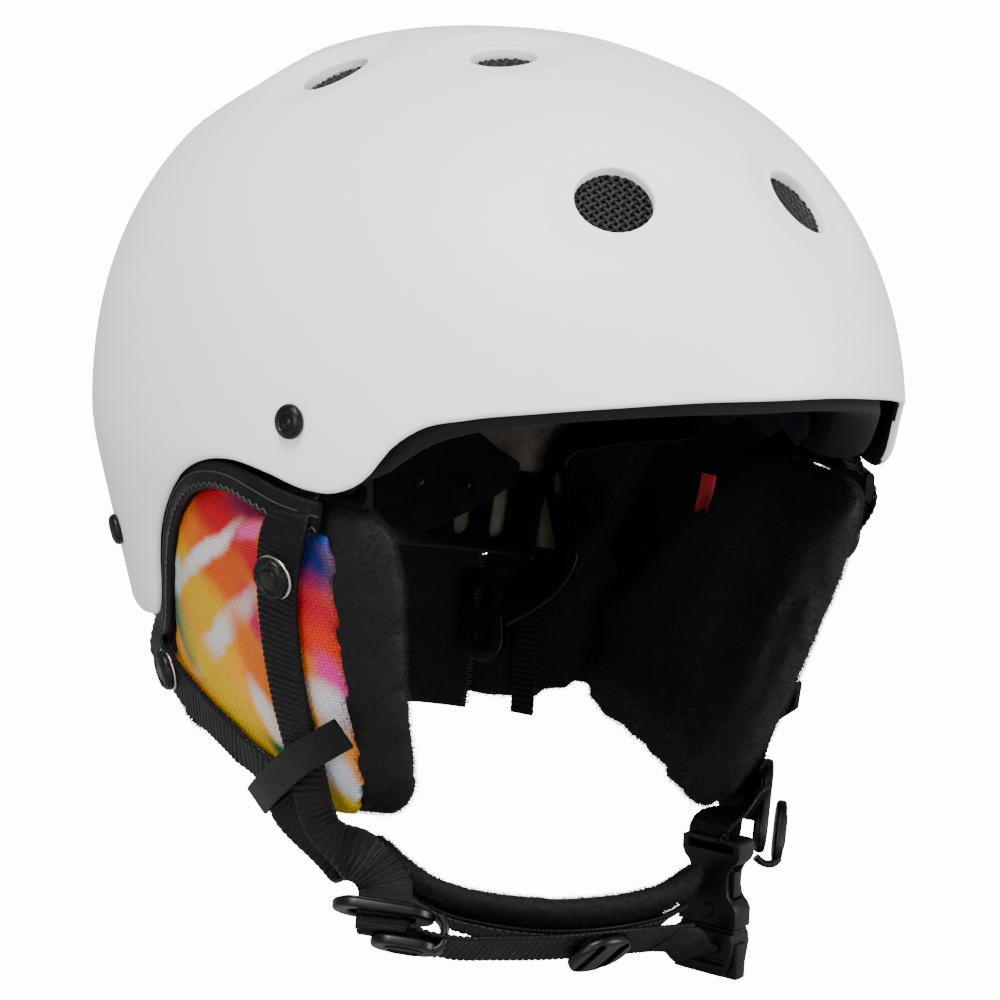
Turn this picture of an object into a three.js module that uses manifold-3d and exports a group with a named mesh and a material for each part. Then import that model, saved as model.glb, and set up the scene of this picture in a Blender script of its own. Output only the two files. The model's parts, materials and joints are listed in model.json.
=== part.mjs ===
// Ski helmet: hard shell, foam liner, comfort pads, ear pads, strap harness and side-release buckle.
// Millimetres, +Z up. Origin at the middle of the shell's widest section. The wearer faces -Y and the
// wearer's right side is -X. Angles round the head are in degrees: 0 front, 90 right, 180 back, 270 left.
import * as THREE from "three";
import { mergeVertices } from "three/addons/utils/BufferGeometryUtils.js";
import Module from "manifold-3d";

const wasm = await Module();
wasm.setup();

// ---------------------------------------------------------------- driving dimensions
const HALF_WIDTH = 110;
const HALF_LENGTH = 144.5;
const DOME_HEIGHT = 116.5;
const PLAN_POWER = 2.05;
const PROFILE_POWER = 2.2;
const TUCK_SLOPE = 0.26;
const TUCK_START = 8;
const TUCK_SOFTNESS = 6;

const SHELL_WALL = 3;
const LINER_OUTER = 7.2;
const LINER_INNER = 20.5;
const PAD_OUTER = 22;
const PAD_INNER = 28;
const STRAP_INSET = 5.4;
const STRAP_LIFT = 2.7;
const GAP = 0.5;

const VENT_RADIUS = 10.8;
const FRONT_VENT_RADIUS = 10.7;
const TOP_VENT_RADIUS = 9.4;
const SIDE_VENT_RADIUS = 10;
const LINER_VENT_RADIUS = 9.5;
const MESH_DISC_RADIUS = 12.8;
const MESH_DISC_DEPTH = 5.2;
const MESH_DISC_THICKNESS = 0.8;

const RIVET_RADIUS = 4.8;
const RIVET_HEAD = 2.2;
const RIVET_STEM_RADIUS = 2;

const WEBBING = 15;
const WEBBING_THICKNESS = 1.3;
const EAR_PAD_INSET = 0.6;
const EAR_PAD_THICKNESS = 7.4;
const EAR_LINING_THICKNESS = 7.5;

// Height of the shell's rim at each angle: flat brim, a dive at the temple, an arch over the ear,
// and a drop behind it to the nape.
const RIM = [
  [0, 23], [11, 22.7], [22, 21], [33, 18.4], [42, 15.3], [48, 11.5], [51.5, 5.8], [54.5, -2.5],
  [58.5, -7.6], [63, -8.2], [69, -5.4], [75, -3.8], [80, -5.6], [84, -9.5], [88, -16.2], [91.5, -24.3],
  [94.6, -33], [97, -42], [99, -51], [101.5, -58.5], [107, -62.5], [116, -63.5], [127, -63], [138, -62.5],
  [149, -62], [159, -61.6], [169, -61.3], [180, -61],
];

// ---------------------------------------------------------------- materials
function finish(color, roughness, metalness = 0) {
  return new THREE.MeshStandardMaterial({ color, roughness, metalness });
}
const SHELL_WHITE = finish(0xe9eaec, 0.55);
const LINER_BLACK = finish(0x17181a, 0.85);
const VENT_BLACK = finish(0x1c1c1d, 0.9);
const TRIM_BLACK = finish(0x1a1a1b, 0.4);
const WEBBING_BLACK = finish(0x1b1b1c, 0.8);
const PRINTED_CANVAS = finish(0xe2603a, 0.85);
const PLUSH_BLACK = finish(0x0e0e0f, 0.95);
const VELOUR_NAVY = finish(0x151924, 0.95);
const FLEECE_BLACK = finish(0x121213, 0.95);
const SNAP_METAL = finish(0x2a2a2c, 0.35, 0.8);
const TAG_RED = finish(0xa01820, 0.7);

// ---------------------------------------------------------------- dome and harness surfaces
const radians = THREE.MathUtils.degToRad;
const mix = THREE.MathUtils.lerp;
const smooth = (x, low, high) => THREE.MathUtils.smoothstep(x, low, high);

function table(rows, x) {
  const next = rows.findIndex((row) => row[0] >= x);
  if (next === 0) return rows[0][1];
  if (next < 0) return rows[rows.length - 1][1];
  const [x0, y0] = rows[next - 1];
  const [x1, y1] = rows[next];
  return mix(y0, y1, (x - x0) / (x1 - x0));
}

const fold = (angle) => (angle > 180 ? 360 - angle : angle);
const rimHeight = (angle) => table(RIM, fold(angle));

function tuck(z) {
  const drop = Math.max(0, -z) - TUCK_START;
  const rest = Math.hypot(TUCK_START, TUCK_SOFTNESS) - TUCK_START;
  return z < 0 ? TUCK_SLOPE * 0.5 * (Math.hypot(drop, TUCK_SOFTNESS) + drop - rest) : 0;
}

function ovalPoint(angle, halfWidth, halfLength, z) {
  const power = 2 / PLAN_POWER;
  const s = Math.sin(radians(angle));
  const c = Math.cos(radians(angle));
  return new THREE.Vector3(
    -halfWidth * Math.sign(s) * Math.abs(s) ** power,
    -halfLength * Math.sign(c) * Math.abs(c) ** power,
    z,
  );
}

// A point on the dome at a height, set in by a distance; below the widest section the wall tucks in.
function domePoint(angle, z, inset) {
  if (z < 0) {
    const t = tuck(z) + inset;
    return ovalPoint(angle, HALF_WIDTH - t, HALF_LENGTH - t, z);
  }
  const rise = Math.min(1, z / (DOME_HEIGHT - inset));
  const k = (1 - rise ** PROFILE_POWER) ** (1 / PROFILE_POWER);
  return ovalPoint(angle, (HALF_WIDTH - inset) * k, (HALF_LENGTH - inset) * k, z);
}

// The harness surface is the outside of the ear pads: it leans in to the jaw, and it stays inside the
// shell behind the ear.
function harnessInset(angle, z) {
  const drop = Math.max(0, -15 - z);
  const free = 2 + 0.25 * drop + 0.0009 * drop * drop;
  const inside = tuck(Math.max(z, -64)) + SHELL_WALL + 0.9 + 0.25 * Math.max(0, -64 - z);
  return mix(free, Math.max(free, inside), smooth(fold(angle), 70, 80));
}

function harnessPoint(angle, z, depth) {
  const inset = harnessInset(angle, z) + depth;
  return ovalPoint(angle, HALF_WIDTH - inset, HALF_LENGTH - inset, z);
}

function outward(point) {
  const x = Math.abs(point.x / HALF_WIDTH);
  const y = Math.abs(point.y / HALF_LENGTH);
  const plan = (x ** PLAN_POWER + y ** PLAN_POWER) ** (PROFILE_POWER / PLAN_POWER - 1);
  return new THREE.Vector3(
    Math.sign(point.x) * plan * x ** (PLAN_POWER - 1) / HALF_WIDTH,
    Math.sign(point.y) * plan * y ** (PLAN_POWER - 1) / HALF_LENGTH,
    Math.max(0, point.z / DOME_HEIGHT) ** (PROFILE_POWER - 1) / DOME_HEIGHT,
  ).normalize();
}

// Direction round the head and direction out of a surface, at an angle and height on it.
function roundTangent(pointAt, angle, z) {
  return pointAt(angle + 2, z).sub(pointAt(angle - 2, z)).normalize();
}

function outOf(pointAt, angle, z) {
  const up = pointAt(angle, z + 1).sub(pointAt(angle, z - 1));
  return up.cross(roundTangent(pointAt, angle, z)).normalize();
}

const onShell = (inset) => (angle, z) => domePoint(angle, z, inset);
const onHarness = (lift) => (angle, z) => harnessPoint(angle, z, -lift);

// ---------------------------------------------------------------- solid builders
function volumeOf(positions, index) {
  const [a, b, c] = [new THREE.Vector3(), new THREE.Vector3(), new THREE.Vector3()];
  let total = 0;
  for (let i = 0; i < index.length; i += 3) {
    a.copy(positions[index[i]]);
    b.copy(positions[index[i + 1]]);
    c.copy(positions[index[i + 2]]);
    total += a.dot(b.cross(c));
  }
  return total;
}

function closedGeometry(positions, index) {
  if (volumeOf(positions, index) < 0) index.reverse();
  const geometry = new THREE.BufferGeometry();
  const coordinates = positions.flatMap((p) => p.toArray());
  geometry.setAttribute("position", new THREE.Float32BufferAttribute(coordinates, 3));
  geometry.setIndex(index);
  return geometry;
}

// Joins rings of points into a closed body with a flat fan at each end.
function loft(rings) {
  const size = rings[0].length;
  const positions = rings.flat();
  const index = [];
  for (let r = 0; r + 1 < rings.length; r += 1) {
    for (let i = 0; i < size; i += 1) {
      const a = r * size + i;
      const b = r * size + (i + 1) % size;
      index.push(a, b, b + size, a, b + size, a + size);
    }
  }
  const last = (rings.length - 1) * size;
  for (let i = 1; i + 1 < size; i += 1) {
    index.push(0, i + 1, i, last, last + i, last + i + 1);
  }
  return closedGeometry(positions, index);
}

// A slab between two matching grids of points, each grid[column][row].
function slab(outer, inner) {
  const rings = outer.map((column, i) => [...column, ...[...inner[i]].reverse()]);
  const size = rings[0].length;
  const rows = size / 2;
  const positions = rings.flat();
  const index = [];
  for (let r = 0; r + 1 < rings.length; r += 1) {
    for (let i = 0; i < size; i += 1) {
      const a = r * size + i;
      const b = r * size + (i + 1) % size;
      index.push(a, b, b + size, a, b + size, a + size);
    }
  }
  const last = (rings.length - 1) * size;
  for (let i = 0; i + 1 < rows; i += 1) {
    const j = size - 1 - i;
    index.push(i, j, j - 1, i, j - 1, i + 1);
    index.push(last + i, last + j - 1, last + j, last + i, last + i + 1, last + j - 1);
  }
  return closedGeometry(positions, index);
}

// A bowl between two insets of the dome, open below along an edge height.
function bowl(angles, rows, edge, outerInset, innerInset) {
  const positions = [];
  const ring = angles.length;
  const layer = (inset) => {
    const start = positions.length;
    const top = DOME_HEIGHT - inset;
    for (let row = 0; row < rows; row += 1) {
      const climb = Math.sin((row / rows) * Math.PI * 0.5);
      for (const angle of angles) {
        positions.push(domePoint(angle, mix(edge(angle), top, climb), inset));
      }
    }
    positions.push(new THREE.Vector3(0, 0, top));
    return start;
  };
  const outerStart = layer(outerInset);
  const innerStart = layer(innerInset);
  const index = [];
  const quad = (a, b, c, d) => index.push(a, b, c, a, c, d);
  for (const [start, flip] of [[outerStart, false], [innerStart, true]]) {
    const pole = start + rows * ring;
    for (let row = 0; row < rows; row += 1) {
      for (let i = 0; i < ring; i += 1) {
        const a = start + row * ring + i;
        const b = start + row * ring + (i + 1) % ring;
        if (row === rows - 1) index.push(...(flip ? [b, a, pole] : [a, b, pole]));
        else if (flip) quad(b, a, a + ring, b + ring);
        else quad(a, b, b + ring, a + ring);
      }
    }
  }
  for (let i = 0; i < ring; i += 1) {
    const j = (i + 1) % ring;
    quad(outerStart + j, outerStart + i, innerStart + i, innerStart + j);
  }
  return closedGeometry(positions, index);
}

// A flat band along a path: each stop is [point, direction of the band's width].
function band(stops, width, thickness, steps = 0) {
  const places = steps ? smoothStops(stops, steps) : stops;
  const rings = places.map(([point, across], i) => {
    const before = places[Math.max(0, i - 1)][0];
    const after = places[Math.min(places.length - 1, i + 1)][0];
    const along = after.clone().sub(before).normalize();
    const w = across.clone().addScaledVector(along, -across.dot(along)).normalize();
    const n = along.clone().cross(w);
    const corner = (a, b) => point.clone().addScaledVector(w, a * width * 0.5)
      .addScaledVector(n, b * thickness * 0.5);
    return [corner(-1, -1), corner(1, -1), corner(1, 1), corner(-1, 1)];
  });
  return loft(rings);
}

function smoothStops(stops, steps) {
  const path = new THREE.CatmullRomCurve3(stops.map((stop) => stop[0]), false, "centripetal");
  const turn = new THREE.CatmullRomCurve3(stops.map((stop) => stop[1]), false, "centripetal");
  return Array.from({ length: steps + 1 }, (_, i) => [path.getPoint(i / steps), turn.getPoint(i / steps)]);
}

function solidOf(geometry) {
  const bare = geometry.clone();
  for (const extra of ["normal", "uv"]) bare.deleteAttribute(extra);
  const merged = mergeVertices(bare);
  return new wasm.Manifold(new wasm.Mesh({
    numProp: 3,
    vertProperties: new Float32Array(merged.attributes.position.array),
    triVerts: new Uint32Array(merged.index.array),
  }));
}

function geometryOf(solid) {
  const result = solid.getMesh();
  const geometry = new THREE.BufferGeometry();
  geometry.setAttribute("position", new THREE.BufferAttribute(result.vertProperties, 3));
  geometry.setIndex(new THREE.BufferAttribute(result.triVerts, 1));
  return geometry;
}

const cut = (geometry, ...tools) => geometryOf(
  tools.reduce((solid, tool) => solid.subtract(solidOf(tool)), solidOf(geometry)),
);
const join = (geometry, ...more) => geometryOf(
  more.reduce((solid, extra) => solid.add(solidOf(extra)), solidOf(geometry)),
);

function box(x, y, z, cx = 0, cy = 0, cz = 0) {
  return new THREE.BoxGeometry(x, y, z).translate(cx, cy, cz);
}

// A cylinder of a given span along a direction, measured from a point.
function rod(radius, point, direction, from, to, sides = 16, tipRadius = radius) {
  const geometry = new THREE.CylinderGeometry(tipRadius, radius, to - from, sides);
  geometry.translate(0, (from + to) / 2, 0);
  geometry.applyQuaternion(new THREE.Quaternion().setFromUnitVectors(new THREE.Vector3(0, 1, 0), direction));
  return geometry.translate(point.x, point.y, point.z);
}

// An oval plate with an oval slot, flat in XY, long side along X.
function slottedPlate(length, width, thickness, slotLength, slotWidth) {
  const stadium = (Path, l, w) => {
    const path = new Path();
    const straight = (l - w) / 2;
    path.absarc(straight, 0, w / 2, -Math.PI / 2, Math.PI / 2, false);
    path.absarc(-straight, 0, w / 2, Math.PI / 2, Math.PI * 1.5, false);
    path.closePath();
    return path;
  };
  const shape = stadium(THREE.Shape, length, width);
  if (slotLength) shape.holes.push(stadium(THREE.Path, slotLength, slotWidth));
  const plate = new THREE.ExtrudeGeometry(shape, { depth: thickness, bevelEnabled: false, curveSegments: 6 });
  return plate.translate(0, 0, -thickness / 2);
}

const assembly = new THREE.Group();

function add(name, geometry, material, parent = assembly) {
  const mesh = new THREE.Mesh(geometry, material);
  mesh.name = name;
  parent.add(mesh);
  return mesh;
}

const mirrored = (geometry) => {
  const copy = geometry.clone().scale(-1, 1, 1);
  const index = [...(copy.index ? copy.index.array : copy.attributes.position.array.keys())];
  if (!copy.index) return mirroredLoose(copy);
  copy.setIndex(index.reverse());
  return copy;
};

function mirroredLoose(geometry) {
  const p = geometry.attributes.position;
  const order = Array.from({ length: p.count }, (_, i) => i).reverse();
  geometry.setIndex(order);
  return geometry;
}

// ---------------------------------------------------------------- vents
// Eleven round vents: five mirrored pairs and one on the centre line behind the crown.
const VENT_PLACES = [
  ["front", 31.6, -109.6, FRONT_VENT_RADIUS],
  ["top_front", 25.7, -42, TOP_VENT_RADIUS],
  ["side", 56.8, 0.5, SIDE_VENT_RADIUS],
  ["rear_side", 54, 53, VENT_RADIUS],
  ["rear", 30, 108, FRONT_VENT_RADIUS],
];

function ventAt(x, y, radius, name) {
  const plan = (Math.abs(x / HALF_WIDTH) ** PLAN_POWER + Math.abs(y / HALF_LENGTH) ** PLAN_POWER);
  const z = DOME_HEIGHT * (1 - plan ** (PROFILE_POWER / PLAN_POWER)) ** (1 / PROFILE_POWER);
  const point = new THREE.Vector3(x, y, z);
  return { name, radius, point, normal: outward(point) };
}

const VENTS = [ventAt(0, 38, VENT_RADIUS, "crown")];
for (const [name, x, y, radius] of VENT_PLACES) {
  VENTS.push(ventAt(-x, y, radius, `${name}_right`));
  VENTS.push(ventAt(x, y, radius, `${name}_left`));
}

for (const { name, point, normal } of VENTS) {
  const bottom = -MESH_DISC_DEPTH - MESH_DISC_THICKNESS;
  add(`vent_mesh_${name}`, rod(MESH_DISC_RADIUS, point, normal, bottom, -MESH_DISC_DEPTH, 20), VENT_BLACK);
}

// ---------------------------------------------------------------- shell, liner and rivets
const RIGHT_ANGLES = RIM.map((row) => row[0]);
const ROUND_ANGLES = [...RIGHT_ANGLES, ...RIGHT_ANGLES.slice(1, -1).reverse().map((angle) => 360 - angle)];
const BOWL_ROWS = 9;

const RIVETS = [
  ["front", 65, 9.8],
  ["rear", 112.4, -39],
];
const rivetTools = [];
for (const [name, angle, z] of RIVETS) {
  for (const [side, theta] of [["right", angle], ["left", 360 - angle]]) {
    const point = domePoint(theta, z, 0);
    const normal = outOf(onShell(0), theta, z);
    rivetTools.push(rod(RIVET_STEM_RADIUS + 0.35, point, normal, -6, 6, 12));
    const head = rod(RIVET_RADIUS, point, normal, 0.8, 0.8 + RIVET_HEAD, 16, RIVET_RADIUS * 0.72);
    const stem = rod(RIVET_STEM_RADIUS, point, normal, -SHELL_WALL, 1.2, 12);
    add(`rivet_${name}_${side}`, join(head, stem), TRIM_BLACK);
  }
}

const ventCutters = VENTS.map(({ point, normal, radius }) => rod(radius, point, normal, -12, 12, 20));
add(
  "outer_shell",
  cut(bowl(ROUND_ANGLES, BOWL_ROWS, rimHeight, 0, SHELL_WALL), ...ventCutters, ...rivetTools),
  SHELL_WHITE,
);

// The liner shows a little below the brim, stops above the ear pads and runs down again at the back.
const LINER_EDGE = [
  [0, 18], [11, 17.8], [22, 16.4], [33, 14], [42, 10.5], [48, 6], [51.5, 1.5], [54.5, -3], [58.5, -6],
  [63, -6.5], [180, -6.5],
];
const LINER_BACK_LOW = -57;
const LINER_BACK_FROM = 110;
const linerEdge = (angle) => table(LINER_EDGE, fold(angle));
const LINER_RIGHT = [0, 13, 26, 38, 48, 54.5, 63, 75, 87, 99, 110, 122, 134, 146, 157, 168, 180];
const LINER_SKIN = 0.3;
const LINER_ROUND = [...LINER_RIGHT, ...LINER_RIGHT.slice(1, -1).reverse().map((angle) => 360 - angle)];
const channelCutters = VENTS.map(({ point, normal }) => rod(LINER_VENT_RADIUS, point, normal, -40, 4, 12));
add(
  "impact_liner",
  cut(join(bowl(LINER_ROUND, 7, linerEdge, LINER_OUTER, LINER_INNER), linerBack()), ...channelCutters),
  LINER_BLACK,
);

function linerBack() {
  return domeSlab(
    LINER_BACK_FROM,
    360 - LINER_BACK_FROM,
    12,
    () => LINER_BACK_LOW,
    () => 3,
    4,
    LINER_OUTER + LINER_SKIN,
    LINER_INNER - LINER_SKIN,
  );
}

// ---------------------------------------------------------------- comfort pads inside the liner
function domeSlab(from, to, columns, low, high, rows, outerInset, innerInset) {
  const grid = (inset) => Array.from({ length: columns + 1 }, (_, i) => {
    const angle = mix(from, to, i / columns);
    return Array.from({ length: rows + 1 }, (__, j) => (
      domePoint(angle, mix(low(angle), high(angle), j / rows), inset)
    ));
  });
  return slab(grid(outerInset), grid(innerInset));
}

// Each pad spans an angle range between two heights: name, from, to, low, high, columns, rows.
const LINER_PADS = [
  ["brow_pad", -44, 44, 18, 44, 12, 2],
  ["side_pad_right", 54, 110, -5, 46, 7, 3],
  ["side_pad_left", 306, 250, -5, 46, 7, 3],
  ["rear_pad", 150, 210, 12, 46, 7, 2],
];
for (const [name, from, to, low, high, columns, rows] of LINER_PADS) {
  const pad = domeSlab(from, to, columns, () => low, () => high, rows, PAD_OUTER, PAD_INNER);
  add(name, pad, VELOUR_NAVY);
}
add("crown_pad", crownPad(), VELOUR_NAVY);

function crownPad() {
  const outline = [
    [-38, -46], [38, -46], [46, -10], [46, 34], [30, 62], [-30, 62], [-46, 34], [-46, -10],
  ];
  const under = (inset) => outline.map(([x, y]) => new THREE.Vector3(x, y, heightUnder(x, y, inset)));
  const midway = (inset) => outline.map(([x, y]) => {
    const [u, v] = [x * 0.5, (y - 8) * 0.5 + 8];
    return new THREE.Vector3(u, v, heightUnder(u, v, inset));
  });
  const size = outline.length;
  const positions = [];
  const index = [];
  for (const inset of [PAD_OUTER, PAD_INNER]) {
    const start = positions.length;
    positions.push(...under(inset), ...midway(inset), new THREE.Vector3(0, 8, heightUnder(0, 8, inset)));
    for (let i = 0; i < size; i += 1) {
      const a = start + i;
      const b = start + (i + 1) % size;
      const faces = [a, b, b + size, a, b + size, a + size, a + size, b + size, start + 2 * size];
      index.push(...(inset === PAD_OUTER ? faces : faces.reverse()));
    }
  }
  const shift = 2 * size + 1;
  for (let i = 0; i < size; i += 1) {
    const j = (i + 1) % size;
    index.push(j, i, i + shift, j, i + shift, j + shift);
  }
  return closedGeometry(positions, index);
}

function heightUnder(x, y, inset) {
  const across = Math.abs(x / (HALF_WIDTH - inset)) ** PLAN_POWER;
  const along = Math.abs(y / (HALF_LENGTH - inset)) ** PLAN_POWER;
  const plan = across + along;
  return (DOME_HEIGHT - inset) * (1 - plan ** (PROFILE_POWER / PLAN_POWER)) ** (1 / PROFILE_POWER);
}

// ---------------------------------------------------------------- ear pads
// Outline of the right ear pad on the harness surface: angle, top height, bottom height.
const EAR_OUTLINE = [
  [59.5, -19, -92], [61, -18, -100], [65, -17.5, -106.5], [70, -16, -107], [76, -11, -105],
  [82, -11.5, -100], [88, -18, -96], [93, -30, -93], [97, -44, -91], [100.5, -58, -90], [105, -72, -90],
  [110, -74, -88],
];
// The plush lining behind it reaches further forward and lower.
const LINING_OUTLINE = [
  [52, -27, -92], [55, -21, -99], [59.5, -19, -104], [65, -18, -107], [70, -17, -107], [76, -14, -106],
  [82, -15, -104], [88, -20, -102], [93, -31, -100], [97, -45, -98], [100.5, -59, -97], [105, -73, -96],
  [110, -76, -95],
];
const EAR_ROWS = 6;

function earSlab(outline, depthOuter, depthInner) {
  const column = (angle, top, bottom, depth) => Array.from({ length: EAR_ROWS + 1 }, (_, j) => (
    harnessPoint(angle, mix(top, bottom, j / EAR_ROWS), depth)
  ));
  const grid = (depth) => outline.map(([angle, top, bottom]) => column(angle, top, bottom, depth));
  return slab(grid(depthOuter), grid(depthInner));
}

const earPads = { right: new THREE.Group(), left: new THREE.Group() };
for (const [side, group] of Object.entries(earPads)) {
  const pad = earSlab(EAR_OUTLINE, EAR_PAD_INSET, EAR_PAD_THICKNESS);
  const front = EAR_PAD_THICKNESS + GAP;
  const lining = earSlab(LINING_OUTLINE, front, front + EAR_LINING_THICKNESS);
  add(`ear_pad_${side}`, side === "right" ? pad : mirrored(pad), PRINTED_CANVAS, group);
  add(`ear_lining_${side}`, side === "right" ? lining : mirrored(lining), PLUSH_BLACK, group);
  assembly.add(group);
}

// The red tag is sewn to the left ear pad's inside pocket.
const TAG_ANGLE = 297;
const tagOut = harnessPoint(TAG_ANGLE, -22, EAR_PAD_THICKNESS + EAR_LINING_THICKNESS + 3.4);
const TAG_ACROSS = new THREE.Vector3(0.45, 0.9, 0);
const TAG_ENDS = [-16, -28];
const tagStops = TAG_ENDS.map((z) => [tagOut.clone().setZ(z), TAG_ACROSS]);
add("pocket_tag", band(tagStops, 8, 0.8), TAG_RED, earPads.left);

// ---------------------------------------------------------------- neck roll and rear fit system
const NECK_TOP = -59;
const NECK_BOTTOM = -108;
const NECK_ANGLES = [119, 241];
const NECK_OUTER = 0.5;
const NECK_INNER = 12;
const NECK_CHAMFER = 2;

function neckRoll() {
  const columns = 16;
  const rows = 5;
  const grid = (depth, trim) => Array.from({ length: columns + 1 }, (_, i) => {
    const angle = mix(...NECK_ANGLES, i / columns);
    return Array.from({ length: rows + 1 }, (__, j) => (
      harnessPoint(angle, mix(NECK_TOP - trim, NECK_BOTTOM + trim, j / rows), depth)
    ));
  });
  return slab(grid(NECK_OUTER, 0), grid(NECK_INNER, NECK_CHAMFER));
}
add("neck_roll", neckRoll(), FLEECE_BLACK);

const CRADLE_ANGLES = [123, 237];
const CRADLE_HEIGHTS = [-30, -45, -60];
const CRADLE_OUTER = LINER_INNER + 1.8;
const CRADLE_INNER = LINER_INNER + 4.6;

function cradleRing() {
  const columns = 14;
  const grid = (inset) => Array.from({ length: columns + 1 }, (_, i) => {
    const angle = mix(...CRADLE_ANGLES, i / columns);
    return CRADLE_HEIGHTS.map((z) => domePoint(angle, z, inset));
  });
  return slab(grid(CRADLE_OUTER), grid(CRADLE_INNER));
}
const cradle = new THREE.Group();
assembly.add(cradle);
add("fit_cradle", cradleRing(), TRIM_BLACK, cradle);

const CRADLE_PAD_ANGLES = [160, 200];
const CRADLE_PAD_HEIGHTS = [-32, -58];
const CRADLE_PAD_OUTER = LINER_INNER + 6;
const CRADLE_PAD_INNER = LINER_INNER + 9.5;
const cradlePadColumns = Array.from({ length: 6 }, (_, i) => mix(...CRADLE_PAD_ANGLES, i / 5));
const cradlePadGrid = (inset) => cradlePadColumns.map((angle) => (
  CRADLE_PAD_HEIGHTS.map((z) => domePoint(angle, z, inset))
));
const cradlePad = slab(cradlePadGrid(CRADLE_PAD_OUTER), cradlePadGrid(CRADLE_PAD_INNER));
add("cradle_pad", cradlePad, VELOUR_NAVY, cradle);

function sidePath(stops, side) {
  const sign = side === "right" ? 1 : -1;
  return stops.map(([point, across]) => [
    new THREE.Vector3(point.x * sign, point.y, point.z),
    new THREE.Vector3(across.x * sign, across.y, across.z),
  ]);
}

const UPWARD = new THREE.Vector3(0, 0, 1);
const ARM_RUN = [[111, -39], [116, -42], [121, -45]];
const ARM_INSET = LINER_INNER + 3.5;
for (const side of ["right", "left"]) {
  const stops = ARM_RUN.map(([angle, z]) => [domePoint(angle, z, ARM_INSET), UPWARD]);
  const arm = band(sidePath(stops, side), 12, 2, 6);
  add(`fit_arm_${side}`, arm, TRIM_BLACK);
}

// ---------------------------------------------------------------- strap harness
function strapStops(pointAt, rows) {
  return rows.map(([angle, z]) => [pointAt(angle, z), roundTangent(pointAt, angle, z)]);
}

const PLATE_LONG_RIGHT = new THREE.Vector3(0.84, -0.53, -0.12);
const PLATE_NORMAL_RIGHT = new THREE.Vector3(-0.3, -0.42, -0.86);
const DIVIDER_RIGHT = new THREE.Vector3(-69.5, -70, -127);
const PLATE_LONG_LEFT = new THREE.Vector3(-0.2, -0.18, -0.96);
const PLATE_NORMAL_LEFT = new THREE.Vector3(0.84, -0.54, 0);
const DIVIDER_LEFT = new THREE.Vector3(72, -57, -115);

const FRONT_RUN = [[65.2, -17.5], [67.8, -33.7], [69.2, -53], [69.6, -71], [69.3, -89]];
const REAR_RUN = [[105, -71.5], [101, -77.5], [93.6, -84], [85, -92], [78, -99.5]];
const FRONT_TOP = [[65, 17], [65, 3], [65.1, -6.5]];
const REAR_TOP = [[111, -36], [109, -50], [107, -62]];
const hung = (top, run) => [
  ...strapStops(onShell(STRAP_INSET), top),
  ...strapStops(onHarness(STRAP_LIFT), run),
];
const frontStops = hung(FRONT_TOP, FRONT_RUN);
const rearStops = hung(REAR_TOP, REAR_RUN);

// The last stops bring a strap down to its divider; layer is the side of the slot it passes.
function rightEnd(lead, layer) {
  const short = PLATE_NORMAL_RIGHT.clone().cross(PLATE_LONG_RIGHT).normalize();
  const atSlot = (reach) => DIVIDER_RIGHT.clone().addScaledVector(PLATE_NORMAL_RIGHT, reach)
    .addScaledVector(short, layer);
  return [...lead, ...[-6, 0, 3.4].map((reach) => [atSlot(reach), PLATE_LONG_RIGHT])];
}
const place = (x, y, z, across) => [new THREE.Vector3(x, y, z), new THREE.Vector3(...across)];
const flip = (v) => v.clone().negate();
const sameWay = (stops) => stops.map(([p, a]) => [p, a.y > 0 ? flip(a) : a]);

const frontRight = rightEnd([place(-78.2, -49, -107, [0.3, -0.95, 0])], 2.15);
const rearRight = rightEnd([
  place(-79, -31, -107, [0.3, -0.95, 0]),
  place(-68.4, -51, -119.3, [0.6, -0.8, 0]),
], -2.1);
const frontLeft = [
  place(78, -42, -104, [-0.25, -0.85, -0.35]),
  place(75.5, -41, -110, [-0.2, -0.85, -0.3]),
];
const rearLeft = [
  place(77.5, -24, -111.5, [-0.25, -0.85, -0.35]),
  place(72.5, -36, -120, [-0.2, -0.8, -0.45]),
];

function addStrap(name, stops) {
  add(name, band(sameWay(stops), WEBBING, WEBBING_THICKNESS, 22), WEBBING_BLACK);
}
addStrap("front_strap_right", [...frontStops, ...frontRight]);
addStrap("rear_strap_right", [...rearStops, ...rearRight]);
addStrap("front_strap_left", [...sidePath(frontStops, "left"), ...frontLeft]);
addStrap("rear_strap_left", [...sidePath(rearStops, "left"), ...rearLeft]);

// A press snap on each strap, over the ear pad.
const SNAPS = [["front", 67.9, -33.5], ["rear", 101.2, -76.8]];
for (const [name, angle, z] of SNAPS) {
  for (const side of ["right", "left"]) {
    const point = harnessPoint(angle, z, -STRAP_LIFT - 1.5);
    const normal = outOf(onHarness(STRAP_LIFT), angle, z);
    for (const vector of side === "left" ? [point, normal] : []) vector.x = -vector.x;
    add(`snap_${name}_${side}`, rod(6, point, normal, 0, 2.6, 16, 5.2), SNAP_METAL);
  }
}

// A fabric keeper ties the two straps of each side together.
const KEEPER_RUN = [
  [61.5, -78, 5.4], [66, -84.5, 5.8], [72, -93, 5.8], [77.5, -101.5, 5.8], [81, -106.5, 6.4],
];
const KEEPER_ACROSS = new THREE.Vector3(0.1, 0.62, -0.78);
for (const side of ["right", "left"]) {
  const stops = KEEPER_RUN.map(([angle, z, lift]) => [harnessPoint(angle, z, -lift), KEEPER_ACROSS]);
  add(`strap_keeper_${side}`, band(sidePath(stops, side), 9, 1.1, 8), WEBBING_BLACK);
}

// ---------------------------------------------------------------- strap dividers with locking levers
function frameOf(long, normal) {
  const x = long.clone().normalize();
  const z = normal.clone().addScaledVector(x, -normal.dot(x)).normalize();
  const y = z.clone().cross(x);
  return new THREE.Quaternion().setFromRotationMatrix(new THREE.Matrix4().makeBasis(x, y, z));
}

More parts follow.
